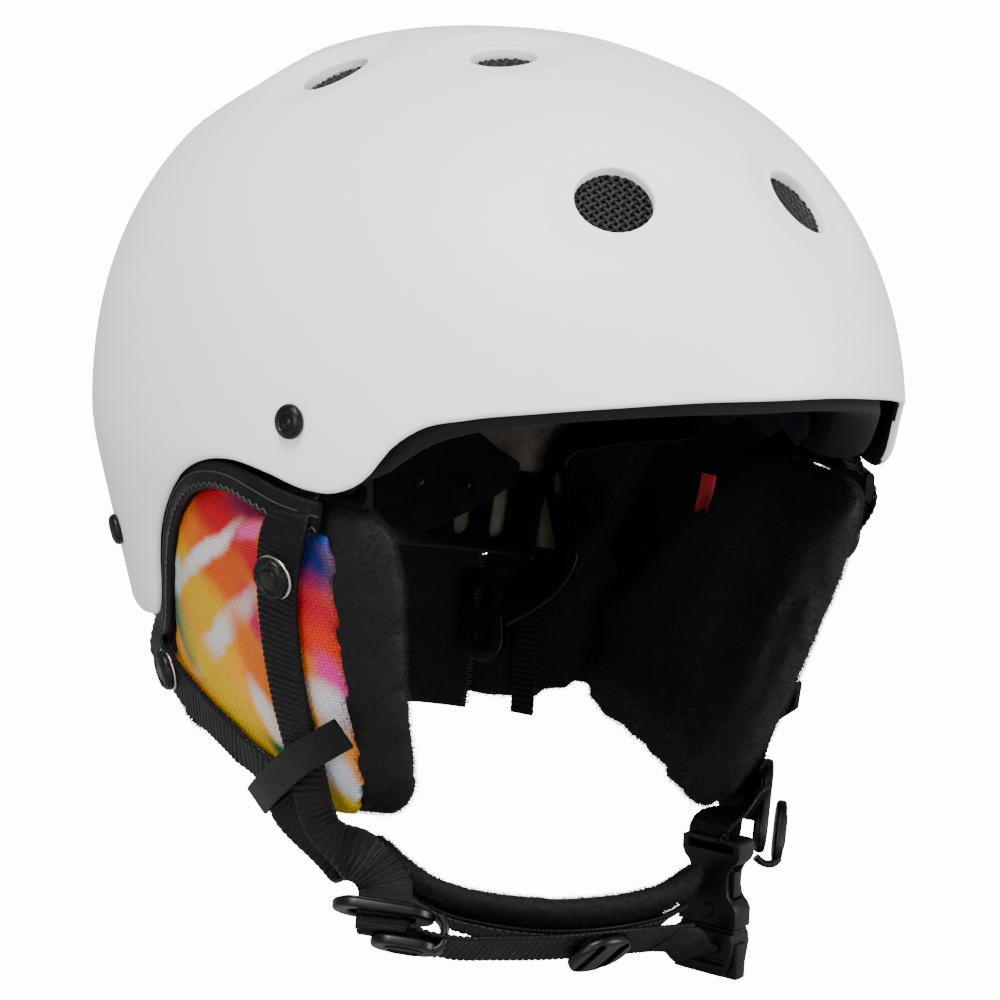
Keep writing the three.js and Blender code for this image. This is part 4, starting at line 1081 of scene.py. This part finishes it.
def build_snaps():
    """Press snaps: a knurled cap over a bright socket ring."""
    for name, angle, z in SNAP_PLACES:
        for side in ("right", "left"):
            centre, normal = harness(angle, z, -STRAP_LIFT), out_of(on_harness(STRAP_LIFT), angle, z)
            if side == "left":
                centre, normal = other_side(centre), other_side(normal)
            metal = lathe(f"snap_ring_{name}_{side}", SNAP_RING, centre, normal, PAINT["snap_metal"], 48,
                          60)
            settle(metal, "helmet", "snap_metal")
            cap = lathe("cap", SNAP_CAP, centre, normal, PAINT["trim_black"], 48, 55)
            knurls = [bars_on_path("knurl", ring_path(centre + normal * h, normal, r, 60), normal, 0.82,
                                   0.44, 0.27,
                                   0.5, PAINT["trim_black"], True) for r, h in KNURL_RINGS]
            settle(join_into(f"snap_cap_{name}_{side}", [cap, *knurls]), "helmet", "snap_metal",
                   f"snap_{name}_{side}")


# ---------------------------------------------------------------- ear pads
LINING_OUTLINE = [
    (50.5, -22, -92), (52.5, -14, -99), (55, -11, -103.5), (59.5, -9.5, -106.5), (65, -9, -108),
    (70, -8.7, -108),
    (76, -8.7, -106.5), (82, -10, -104), (88, -14, -101), (93, -25, -99), (97, -37, -97), (100.5, -48, -96),
    (105, -58, -95.5), (111, -64, -94),
]
# The strap draws the left lining down by this much in the middle.
LEFT_LINING_DROP = 11.0


def ear_surface(side):
    if side == "right":
        return harness
    return lambda angle, z, depth=0.0: other_side(harness(angle, z, depth))


def build_ear_pads():
    for side in ("right", "left"):
        surface = ear_surface(side)
        body = f"ear_pad_{side}"
        pad = pillow(f"ear_pad_cover_{side}", surface, EAR_OUTLINE, 0.9, 7.4, PAINT["printed_canvas"],
                     (64, 72), 9)
        puff(pad, 1.5, 1.6, 0.003)
        settle(pad, body, "printed_canvas", f"ear_pad_{side}")
        lining = LINING_OUTLINE if side == "right" else [
            (a, top, low - LEFT_LINING_DROP * ease(a, 48, 60) * (1 - 0.6 * ease(a, 100, 112)))
            for a, top, low in LINING_OUTLINE]
        plush = pillow(f"ear_plush_{side}", surface, lining, 4.4, 17.0, PAINT["plush_black"], (60, 72), 5)
        puff(plush, 3.0, 2.6, 0.004)
        pile = pile_on(f"ear_pile_{side}", plush, 1.8, 2.6, PAINT["plush_black"], 0.075)
        settle(plush, body, "plush_black", f"ear_lining_{side}")
        settle(pile, body, "plush_black")
        build_binding(side, surface, body)


BINDING_RUN = [(61.2, -15.3), (64, -14.6), (67, -13.6), (71.5, -11), (76, -9.3), (81, -9.8), (85.5, -13.4),
               (89, -19.5),
               (92.6, -29), (95.8, -40), (98.6, -51), (101.2, -60), (104.5, -67)]


def build_binding(side, surface, body):
    """Satin tape over the pad's top edge, with a zigzag row on its lower side and a second tape seam."""
    angle, z = np.array(BINDING_RUN, float).T
    points = np.stack([surface(a, h, 0.2) for a, h in zip(angle, z)])
    ahead = unit(np.gradient(points, axis=0))
    out = np.stack([unit(surface(a, h, -1.0) - surface(a, h, 1.0)) for a, h in zip(angle, z)])
    across = unit(np.cross(out, ahead))
    tape = sweep(f"binding_{side}", list(zip(points, across)), rounded_ring(9.0, 2.6, 10, 1.6), SATIN_TAPE,
                 1.5)
    settle(tape, body, "webbing_black")
    down = across if across[4][2] < 0 else -across
    for label, reach, lean in (("zigzag", 3.0, 0.6), ("edge_row", -0.6, 0.0)):
        line = points + down * reach + out * 1.45
        path, _, _, _ = run_along(list(zip(line, across)), 1.0)
        normal = np.stack([np.interp(np.linspace(0, 1, len(path)), np.linspace(0, 1, len(out)), out[:, k])
                           for k in range(3)], 1)
        row = bars_on_path(f"{label}_{side}", path, normal, 1.5, 1.7, 0.24, lean, THREAD)
        settle(row, body, "webbing_black")


# ---------------------------------------------------------------- straps
PLATE_LONG_RIGHT, PLATE_NORMAL_RIGHT = unit([0.84, -0.53, -0.12]), unit([-0.3, -0.42, -0.86])
PLATE_LONG_LEFT, PLATE_NORMAL_LEFT = unit([-0.2, -0.18, -0.96]), unit([0.84, -0.54, 0])
DIVIDER_RIGHT, DIVIDER_LEFT = np.array([-69.5, -70, -127.0]), np.array([72, -57, -115.0])
# Strap runs as angle and height: under the shell, then over the pad. The keeper's third value is its lift.
FRONT_TOP, REAR_TOP = [(65, 17), (65, 3), (65.1, -6.5)], [(111, -36), (109, -50), (107, -62)]
FRONT_RUN = [(65.2, -17.5), (67.8, -33.7), (69.2, -53), (69.6, -71), (69.3, -89)]
REAR_RUN = [(105, -71.5), (101, -77.5), (93.6, -84), (85, -92), (78, -99.5)]
KEEPER_RUN = [
    (60.2, -76.5, 4.6), (63.5, -81, 6.2), (68, -87, 6.8), (73, -94.5, 6.8), (78, -102, 6.6),
    (81.5, -107, 6.0),
]
KEEPER_LIFT = {"right": 6.8, "left": 4.2}


def strap_stops(top, run):
    stops = [(dome(a, z, STRAP_INSET), round_head(on_dome(STRAP_INSET), a, z)) for a, z in top]
    stops += [(harness(a, z, -STRAP_LIFT), round_head(on_harness(STRAP_LIFT), a, z)) for a, z in run]
    return [(p, -w if w[1] > 0 else w) for p, w in stops]


def at_right_slot(reach, layer):
    short = unit(np.cross(PLATE_NORMAL_RIGHT, PLATE_LONG_RIGHT))
    return DIVIDER_RIGHT + PLATE_NORMAL_RIGHT * reach + short * layer


def build_straps():
    long_way = -PLATE_LONG_RIGHT if PLATE_LONG_RIGHT[1] > 0 else PLATE_LONG_RIGHT
    front, rear = strap_stops(FRONT_TOP, FRONT_RUN), strap_stops(REAR_TOP, REAR_RUN)
    slot_front = [(at_right_slot(r, 2.15), long_way) for r in (-6, 0, 5.0)]
    slot_rear = [(at_right_slot(r, -2.1), long_way) for r in (-6, 0, 5.0)]
    front_right = front + [((-78.2, -49, -107), unit([0.3, -0.95, 0]))] + slot_front
    rear_right = rear + [((-79, -31, -107), unit([0.3, -0.95, 0])),
                         ((-68.4, -51, -119.3), unit([0.6, -0.8, 0]))] + slot_rear
    def over(stops):
        return [(other_side(p), other_side(w)) for p, w in stops]
    front_left = over(front) + [((78, -42, -104), (-0.25, -0.85, -0.35)),
                                ((75.5, -43, -110.5), (-0.2, -0.85, -0.3)),
                                ((73.5, -50, -115), (-0.2, -0.5, -0.8))]
    rear_left = over(rear) + [((77.5, -24, -111.5), (-0.25, -0.85, -0.35)),
                              ((72.5, -36, -120), (-0.2, -0.8, -0.45)),
                              ((71, -48, -119), (-0.2, -0.4, -0.9))]
    for name, stops in (("front_strap_right", front_right), ("rear_strap_right", rear_right),
                        ("front_strap_left", front_left), ("rear_strap_left", rear_left)):
        settle(webbing(f"webbing_{name}", stops, PAINT["webbing_black"]), "helmet", "webbing_black", name)
    for side in ("right", "left"):
        run = KEEPER_RUN if side == "right" else KEEPER_RUN[1:]
        path = np.array([harness(a, z, -min(lift, KEEPER_LIFT[side])) for a, z, lift in run])
        ahead = unit(np.gradient(path, axis=0))
        stops = [(p, np.cross(h, out_of(harness, a, z))) for p, h, (a, z, _) in zip(path, ahead, run)]
        stops = stops if side == "right" else over(stops)
        sleeve = sweep(f"keeper_sleeve_{side}", stops, rounded_ring(9.6, 1.4), PAINT["webbing_black"], 0.6)
        settle(sleeve, "helmet", "webbing_black", f"strap_keeper_{side}")


# ---------------------------------------------------------------- dividers
def stadium(length, width, count=14):
    """Points round an oval with straight sides, and the way out at each."""
    turn = np.linspace(-math.pi / 2, math.pi / 2, count)
    half = (length - width) / 2
    right = np.stack([half + width / 2 * np.cos(turn), width / 2 * np.sin(turn)], 1)
    out = np.stack([np.cos(turn), np.sin(turn)], 1)
    return np.concatenate([right, -right]), np.concatenate([out, -out])


def plate_frame(centre, long, normal):
    y = np.cross(normal, long)
    return lambda p: np.asarray(centre) + p[..., :1] * long + p[..., 1:2] * y + p[..., 2:] * normal


def oval_plate(name, length, width, thickness, place, shift, material, slot=None, round_off=1.0):
    """A moulded oval plate with rounded edges, ringed round a slot where it has one."""
    outer, way = stadium(length, width)
    turns = np.radians([-90, -60, -30, 0, 30, 60, 90])
    count = len(outer)

    def edge_ring(outline, way_out, turn):
        shelf = (thickness / 2 - round_off) * (1 if turn > 0 else -1)
        height = np.full(count, shelf + round_off * math.sin(turn))
        return np.c_[outline + way_out * round_off * (math.cos(turn) - 1), height]
    rings = [edge_ring(outer, way, turn) for turn in turns]
    if slot:
        inner, inner_way = stadium(*slot)
        rings += [edge_ring(inner, -inner_way, turn) for turn in turns[::-1]]
        last = count * (len(rings) - 1)
        ends = [(last + i, last + (i + 1) % count, (i + 1) % count, i) for i in range(count)]
        faces = grid_faces(len(rings), count, wrap=True) + ends
    else:
        faces = closed_faces(len(rings), count)
    points = np.concatenate(rings) + np.asarray(shift, float)
    return make_mesh(name, place(points), faces, material, 35)


LEVER_DROP = {"right": 8.5, "left": 5.5}


def build_dividers():
    for side, centre, long, normal in (("right", DIVIDER_RIGHT, PLATE_LONG_RIGHT, PLATE_NORMAL_RIGHT),
                                       ("left", DIVIDER_LEFT, PLATE_LONG_LEFT, PLATE_NORMAL_LEFT)):
        normal = unit(normal - long * np.dot(normal, long))
        place = plate_frame(centre, long, normal)
        plate = oval_plate(f"slot_plate_{side}", 29, 13.5, 3, place, (0, 0, 0), PAINT["trim_black"],
                           (19, 6.6))
        rim = oval_plate("rim", 25.5, 10.2, 1.0, place, (0, 0, -1.6), PAINT["trim_black"], (22.5, 8.0), 0.4)
        settle(join_into(f"slot_plate_{side}", [plate, rim]), "helmet", "trim_black",
               f"divider_plate_{side}")
        drop = LEVER_DROP[side]
        foot = oval_plate(f"lock_lever_{side}", 19, 11, 3, place, (16.6 - 9.5, 0, drop),
                          PAINT["trim_black"])
        disc = oval_plate("disc", 11, 7, 0.8, place, (16.6 - 9.5, 0, drop + 1.6), PAINT["trim_black"],
                          (8.5, 4.6), 0.3)
        arm_path = [((15.2, 0, drop + 0.7), (0, 1, 0)), ((16.9, 0, drop - 0.5), (0, 1, 0)),
                    ((17.6, 0, drop * 0.6), (0, 1, 0)),
                    ((17.3, 0, 1.5), (0, 1, 0)), ((15.8, 0, -0.8), (0, 1, 0))]
        arm = [(place(np.array([p]))[0], place(np.array([np.add(p,
            w)]))[0] - place(np.array([p]))[0]) for p, w in arm_path]
        hinge = moulded_run("arm", arm, rounded_ring(8, 2.2, 6, 0.9), PAINT["trim_black"], 0.8)
        settle(join_into(f"lock_lever_{side}", [foot, disc, hinge]), f"lever_{side}", "trim_black",
               f"divider_lever_{side}")
    loops = [(at_right_slot(r, layer), PLATE_LONG_RIGHT) for r, layer in
             ((4.6, 2.6), (6.2, 1.2), (6.6, -0.6), (5.9, -2.2), (4.4, -3.4))]
    settle(webbing("loop_under_plate", loops, PAINT["webbing_black"], 14, 1.3), "helmet", "webbing_black")


# ---------------------------------------------------------------- chin strap
CHIN_PATH = [(-55, -42, -118), (-52, -51, -123), (-46, -62, -128), (-36, -71, -130.5), (-24, -78, -132),
             (-8, -81, -133),
             (8, -79, -133.8), (22, -73.5, -134.5), (32, -67, -134.5), (38, -60, -134)]
WEBBING_PATH = [(-66, -75, -131.5), (-60, -78, -134.5), (-53, -80, -136.5), (-40, -82, -138),
                (-22, -85.5, -139),
                (-2, -86, -140), (15, -82, -142.5), (26, -78, -144.5)]


def build_chin_strap():
    stops = [(p, (p[0] * 0.012, -0.72, 0.7)) for p in CHIN_PATH]
    pad = moulded_run("chin_fleece", stops, rounded_ring(19.5, 5.6, 12, 2.8), PAINT["fleece_black"], 1.6)
    puff(pad, 2.0, 1.6, 0.0025)
    pile = pile_on("chin_pile", pad, 1.5, 2.4, PAINT["fleece_black"], 0.1, 0.7, 8)
    settle(pad, "helmet", "fleece_black", "chin_pad")
    settle(pile, "helmet", "fleece_black")
    low = [(np.array(p) + (0, -1.2, -5.8), (p[0] * 0.012, -0.72, 0.7)) for p in CHIN_PATH[1:-1]]
    band = sweep("chin_band", low, rounded_ring(10.5, 1.6), PAINT["webbing_black"], 0.6)
    settle(band, "helmet", "webbing_black")
    for label, reach in (("upper", 4.2), ("lower", -4.2)):
        path, wide, out, _ = run_along(low, 1.0)
        line = path + wide * reach + out * (0.95 if out[0][2] < 0 else -0.95)
        row = bars_on_path(f"chin_stitch_{label}", line, out if out[0][2] < 0 else -out, 2.4, 1.7, 0.22,
                           0.0, THREAD)
        settle(row, "helmet", "webbing_black")
    stops = [(p, (p[0] * 0.008, -0.72, 0.7)) for p in WEBBING_PATH]
    settle(webbing("chin_strap", stops, PAINT["webbing_black"]), "helmet", "webbing_black", "chin_webbing")


# ---------------------------------------------------------------- buckle
def refined(node, name, edge, material, segments=3):
    """A moulded copy of a hard CAD part with its edges rounded."""
    source = bpy.data.objects[node]
    mesh = source.data.copy()
    piece = bpy.data.objects.new(name, mesh)
    bpy.context.collection.objects.link(piece)
    mesh.materials.clear()
    mesh.materials.append(material)
    for polygon in mesh.polygons:
        polygon.material_index = 0
    b = bmesh.new()
    b.from_mesh(mesh)
    bmesh.ops.remove_doubles(b, verts=b.verts, dist=0.00001)
    bmesh.ops.dissolve_limit(b, angle_limit=math.radians(2), verts=b.verts, edges=b.edges)
    b.to_mesh(mesh)
    b.free()
    return soften(piece, edge, segments)


BUCKLE_PLACE, BUCKLE_TURN = np.array([50.5, -63.5, -133.0]), -1.2


def in_buckle(points):
    """From the buckle's own axes, X across, Y through and Z up the strap, to the helmet's."""
    p = np.asarray(points, float)
    c, s = math.cos(BUCKLE_TURN), math.sin(BUCKLE_TURN)
    return BUCKLE_PLACE + np.stack([c * p[..., 0] - s * p[..., 1], s * p[..., 0] + c * p[..., 1],
                                    p[..., 2]], -1)


def slab_from(name, outline, front, back, material=None):
    """A flat body with a given outline in the buckle's X and Z."""
    flat = np.array(outline, float)
    rings = [in_buckle(np.c_[flat[:, 0], np.full(len(flat), y), flat[:, 1]]) for y in (front, back)]
    count = len(flat)
    return make_mesh(name, np.concatenate(rings), closed_faces(2, count), material)


SOCKET_SIDE = [
    (10, 12.2), (10, 8.2), (9.2, 6.4), (7.4, 4.6), (6.4, 2.4), (6.2, -1.5), (6.9, -4.6), (8.9, -6.6),
    (10, -8.4), (10, -14),
]
BOSS_PROFILE = [(0.9, 0), (2.3, 0.1), (2.4, 0.5), (2.0, 0.7), (0.9, 0.75)]
PLUG_SIDE = [(9.6, -15.5), (10.2, -18.5), (9.4, -25), (7.4, -28.8)]
LOOP_RUN = [
    ((51.5, -64.2, -123.5), (0.36, -0.93, 0)), ((47.6, -62.2, -121), (0.36, -0.93, 0)),
    ((48.2, -62.3, -117.8), (0.36, -0.93, 0)), ((55, -63, -113.5), (0.36, -0.9, 0.2)),
    ((62.5, -62, -112), (0.3, -0.6, 0.7)), ((68.5, -60.5, -112.5), (0.05, -0.4, 0.95)),
]
LINK_RUN = [
    ((19, -80.5, -143.3), (0.2, -0.7, 0.7)), ((29.5, -76.6, -146.4), (0.2, -0.7, 0.7)),
    ((33, -73.5, -149), (0.1, -0.72, 0.7)), ((38, -69.5, -153), (0.2, -0.75, 0.6)),
    ((44, -66.2, -155.5), (0.3, -0.8, 0.4)),
]
SLIDER_PLACE = (-8, -87.4, -142.3)


def window(half_wide, low, high, front, back):
    """A cutter for a rectangular opening through the buckle."""
    corners = [(half_wide, low), (half_wide, high), (-half_wide, high), (-half_wide, low)]
    return slab_from("cutter", corners, front, back)


def build_socket():
    """The female half: a bar for the strap, a waist that shows the press tabs, and a deep mouth."""
    mirrored = [(-x, z) for x, z in SOCKET_SIDE[::-1]]
    outline = [(8.6, 13)] + SOCKET_SIDE + mirrored + [(-8.6, 13)]
    socket = slab_from("buckle_socket", outline, -4.3, 4.3, PAINT["trim_black"])
    cut_away(socket, [window(7.8, -30, 7, -2.5, 2.5), window(8, 8.9, 11.5, -9, 9)])
    soften(socket, 0.8, 3, 38)
    out = in_buckle([0, -1, 0]) - in_buckle([0, 0, 0])
    boss = lathe("boss", BOSS_PROFILE, in_buckle([0, -4.25, -9.5]), out, PAINT["trim_black"], 32)
    settle(join_into("buckle_socket", [socket, boss]), "helmet", "trim_black", "buckle_female")


def build_buckle():
    trim = PAINT["trim_black"]
    parts = (("buckle_prong_front", "buckle_prong_f", 0.4, "prong_front"),
             ("buckle_prong_rear", "buckle_prong_r", 0.4, "prong_rear"))
    for node, name, edge, body in parts:
        settle(refined(node, name, edge, trim), body, "trim_black", node)
    build_socket()
    hull = slab_from("hull", PLUG_SIDE + [(-x, z) for x, z in PLUG_SIDE[::-1]], -5.6, 4.4, trim)
    soften(cut_away(hull, [window(7.6, -25.6, -22.8, -9, 9)]), 1.3, 4, 38)
    plug = join_into("buckle_plug", [refined("buckle_male", "buckle_plug", 0.7, trim), hull])
    settle(plug, "buckle_male_half", "trim_black", "buckle_male")
    long, across = unit([0.99, 0.12, -0.08]), unit([0, -0.72, 0.7])
    place = plate_frame(SLIDER_PLACE, long, unit(np.cross(long, across)))
    slider = oval_plate("slider_loop", 19.5, 17.6, 3.0, place, (0, 0, 0), trim, round_off=1.1)
    windows = [oval_plate("cutter", 15.2, 3.4, 9, lambda p,
                          x=x: place(np.c_[p[..., 1] + x, p[..., 0], p[..., 2]]),
                          (0, 0, 0), None, round_off=0.3) for x in (-4.4, 4.4)]
    settle(cut_away(slider, windows), "helmet", "trim_black", "webbing_slider")
    loop = webbing("buckle_strap_loop", LOOP_RUN, PAINT["webbing_black"], 14)
    settle(loop, "helmet", "webbing_black", "buckle_loop")
    piece = webbing("buckle_strap_link", LINK_RUN, PAINT["webbing_black"], 13, 2.4)
    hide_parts("buckle_webbing")
    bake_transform(piece)


# ---------------------------------------------------------------- comfort pads, neck roll and fit system
def build_inside():
    def put_pad(name, node, columns, surface, outer, inner, slot, body="helmet", cap=2.0):
        pad = pillow(name, surface, columns, outer, inner, PAINT[slot], (40, 24), 5)
        puff(pad, 2.0, cap, 0.004)
        settle(pad, body, slot, node)
    wavy = [(a, 42 + 2 * math.sin(a * 0.4), 20 + 2.5 * math.sin(a * 0.35)) for a in range(-42, 43, 3)]
    put_pad("brow_velour", "brow_pad", wavy, dome, PAD_OUTER, PAD_INNER, "velour_navy")
    for side, low in (("right", 56), ("left", 252)):
        columns = [(a, 44, -4 + 2.5 * math.sin(a * 0.5)) for a in np.linspace(low, low + 52, 18)]
        put_pad(f"side_velour_{side}", f"side_pad_{side}", columns, dome, PAD_OUTER, PAD_INNER,
                "velour_navy")
    rear = [(a, 44, 14) for a in np.linspace(152, 208, 9)]
    put_pad("rear_velour", "rear_pad", rear, dome, PAD_OUTER, PAD_INNER, "velour_navy")
    nape = [(a, -33, -57) for a in np.linspace(161, 199, 7)]
    put_pad("cradle_velour", "cradle_pad", nape, dome, LINER_INNER + 6, LINER_INNER + 9.5, "velour_navy",
            "fit_cradle", 1.0)
    build_crown_pad()
    build_fit_system()
    columns = [(a, -59 + 10 * ease(a, 224, 240), -110 + 8 * ease(abs(a - 180), 50, 68))
               for a in np.linspace(111.8, 253.5, 21)]
    roll = pillow("neck_fleece", harness, columns, 2.4, 12, PAINT["fleece_black"], (72, 30), 5)
    puff(roll, 2.0, 3.0, 0.005)
    pile = pile_on("neck_pile", roll, 1.6, 1.2, PAINT["fleece_black"], 0.12, 0.7, 5)
    settle(roll, "helmet", "fleece_black", "neck_roll")
    settle(pile, "helmet", "fleece_black")


CROWN_OUTLINE = [(-38, -46), (38, -46), (46, -10), (46, 34), (30, 62), (-30, 62), (-46, 34), (-46, -10)]
CROWN_EDGE, CROWN_CHANNEL, CROWN_INSET, CROWN_HALF_THICK = 96, 8, 25, 3


def build_crown_pad():
    """A soft pad under the crown, with a sewn channel across it."""
    ring = np.array(CROWN_OUTLINE + CROWN_OUTLINE[:1], float)
    knots = np.arange(len(ring))
    turn = np.linspace(0, len(CROWN_OUTLINE), CROWN_EDGE, endpoint=False)
    edge = np.stack([np.interp(turn, knots, ring[:, k]) for k in range(2)], 1)
    middle = np.array([0.0, CROWN_CHANNEL])
    rings = []
    for share in np.linspace(0.02, 1, 16):
        flat = middle + (edge - middle) * share
        full = (1 - share**6) ** 0.5 * (1 - 0.55 * np.exp(-((flat[:, 1] - CROWN_CHANNEL) / 3) ** 2))
        rings.append((flat, full))
    layers = []
    for sign, order in ((-1, rings), (1, rings[::-1])):
        for flat, full in order:
            inset = CROWN_INSET + sign * CROWN_HALF_THICK * full
            layers.append(np.c_[flat, dome_height(flat[:, 0], flat[:, 1], inset)])
    faces = closed_faces(len(layers), CROWN_EDGE)
    pad = make_mesh("crown_velour", np.concatenate(layers), faces, PAINT["velour_navy"], 60)
    settle(pad, "helmet", "velour_navy", "crown_pad")


CRADLE_WINDOWS = [133, 141, 149, 211, 219, 227]
PRESS_EYES = [(208.7, -36.5), (219.5, -36.6)]
EYE_PROFILE = [(0.9, 0.2), (1.0, -0.3), (1.7, -0.3), (2.0, 0.3), (1.9, 0.9), (1.3, 1.1), (1.0, 0.7)]
BACK_VELOUR = [
    (198, -24, -50), (205, -18, -53), (212, -14, -52), (219, -17, -47), (226, -24, -40), (231, -28, -34),
]
SIDE_ARM_RUN = [
    (269, -6), (262, -9), (254, -12), (247, -15.5), (241.5, -19), (239.2, -25), (240.5, -34), (243.5, -45),
    (245.5, -55), (243, -64), (238, -71), (232, -77),
]
SIDE_ARM_INSET, SIDE_ARM_SLOTS = 28.5, (2, 6, 8)
LOCK_ANGLE, LOCK_HEIGHT = 226.5, -79
ELASTIC_ANGLE, ELASTIC_RUN = 238.5, [(-70, 0), (-80, 0), (-93, -2), (-109, -5)]
FLAP_EDGE = 223.3
LABEL_RUN = [(83.6, -4, -21), (82.4, -4.2, -28), (80.6, -4.5, -34.5)]


def build_fit_system():
    """The rear cradle, foam and velour behind it, its side arm and ladder lock, an elastic and a flap."""
    build_cradle()
    build_back_pads()
    build_side_arm()
    build_ladder_lock()
    build_elastic_and_flap()


def build_cradle():
    trim = PAINT["trim_black"]
    ring = pillow("cradle_band", dome, [(a, -31, -59) for a in np.linspace(123.5, 236.5, 15)],
                  LINER_INNER + 2.0,
                  LINER_INNER + 4.4, trim, (90, 16), 14)
    windows = []
    for a in CRADLE_WINDOWS:
        centre = dome(a, -45, LINER_INNER + 3)
        up, out = np.array([0, 0, 1.0]), out_of(dome, a, -45)
        place = plate_frame(centre, up, out)
        windows.append(oval_plate("cutter", 19, 6, 16, place, (0, 0, 0), None, round_off=0.4))
    cut_away(ring, windows)
    settle(ring, "fit_cradle", "trim_black", "fit_cradle")


def build_back_pads():
    foam = pillow("back_foam", dome, [(a, -9, -55) for a in np.linspace(196, 240, 12)], 20.6, 22.4,
                  FOAM_GREY, (60, 60), 10)
    settle(foam, "helmet", "velour_navy")
    velour = pillow("back_velour", dome, BACK_VELOUR, 26.2, 27.4, PAINT["velour_navy"], (44, 40), 8)
    settle(velour, "helmet", "velour_navy")
    for number, (a, z) in enumerate(PRESS_EYES):
        eye = lathe(f"press_eye_{number}", EYE_PROFILE, dome(a, z, 27.4), -out_of(dome, a, z),
                    PAINT["trim_black"], 28)
        settle(eye, "helmet", "trim_black")


def build_side_arm():
    trim = PAINT["trim_black"]
    points = [dome(a, z, SIDE_ARM_INSET) for a, z in SIDE_ARM_RUN]
    ahead = unit(np.gradient(np.array(points), axis=0))
    wide = [np.cross(h, out_of(dome, a, z)) for h, (a, z) in zip(ahead, SIDE_ARM_RUN)]
    arm = moulded_run("fit_side_arm", list(zip(points, wide)), rounded_ring(9.5, 1.8, 6, 0.8), trim, 1.5)
    slots = []
    for i in SIDE_ARM_SLOTS:
        place = plate_frame(points[i], ahead[i], out_of(dome, *SIDE_ARM_RUN[i]))
        slots.append(oval_plate("cutter", 11, 3.6, 9, place, (0, 0, 0), None, round_off=0.3))
    cut_away(arm, slots)
    settle(arm, "helmet", "trim_black")


def build_ladder_lock():
    trim = PAINT["trim_black"]
    out, up = out_of(dome, LOCK_ANGLE, LOCK_HEIGHT), np.array([-0.12, 0.12, 1.0])
    place = plate_frame(dome(LOCK_ANGLE, LOCK_HEIGHT, 27.5), unit(up - out * np.dot(up, out)), out)
    lock = oval_plate("ladder_lock", 31, 15.5, 2.6, place, (0, 0, 0), trim, round_off=0.9)
    holes = [oval_plate("cutter", 8.6, 7.8, 9, place, (x, 0, 0), None, round_off=0.3) for x in (-7.5, 6.5)]
    cut_away(lock, holes)
    settle(lock, "helmet", "trim_black")


def build_elastic_and_flap():
    across = [round_head(dome, ELASTIC_ANGLE, z) for z, _ in ELASTIC_RUN]
    elastic = [(dome(ELASTIC_ANGLE, z, 27.0 + shift), way) for (z, shift), way in zip(ELASTIC_RUN, across)]
    band = sweep("cradle_elastic", elastic, rounded_ring(9, 1.1), PAINT["webbing_black"], 0.33, ribbed, 75)
    settle(band, "helmet", "webbing_black")
    flap = pillow("neck_flap", harness, [(a, -57, -110.5) for a in np.linspace(190, 223.5, 8)], 13.0, 14.6,
                  PAINT["fleece_black"], (50, 50), 12)
    settle(flap, "helmet", "fleece_black")
    edge = np.array([harness(FLAP_EDGE, z, 14.0) for z in np.linspace(-59, -109, 30)])
    inward = -out_of(harness, 221, -80)
    settle(bars_on_path("flap_overlock", edge, inward, 1.1, 2.6, 0.28, 1.35, THREAD), "helmet",
           "fleece_black")
    label = [(point, (0.12, 0.99, 0)) for point in LABEL_RUN]
    piece = moulded_run("pocket_label", label, rounded_ring(8.5, 0.9), PAINT["tag_red"], 1.0)
    settle(piece, "ear_pad_left", "tag_red", "pocket_tag")


def dress_carried_nodes():
    """Gives each CAD node that still shows its procedural finish."""
    slots = {part["node"]: part["material_slot"] for part in frame["record"]["subparts"]}
    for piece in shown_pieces():
        node = piece.get("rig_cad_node")
        if not node:
            continue
        piece.data.materials.clear()
        piece.data.materials.append(PAINT[slots[node]])


set_camera()
set_studio()
build_shell()
build_vents()
build_rivets()
build_snaps()
build_ear_pads()
build_straps()
build_dividers()
build_chin_strap()
build_buckle()
build_inside()
dress_carried_nodes()
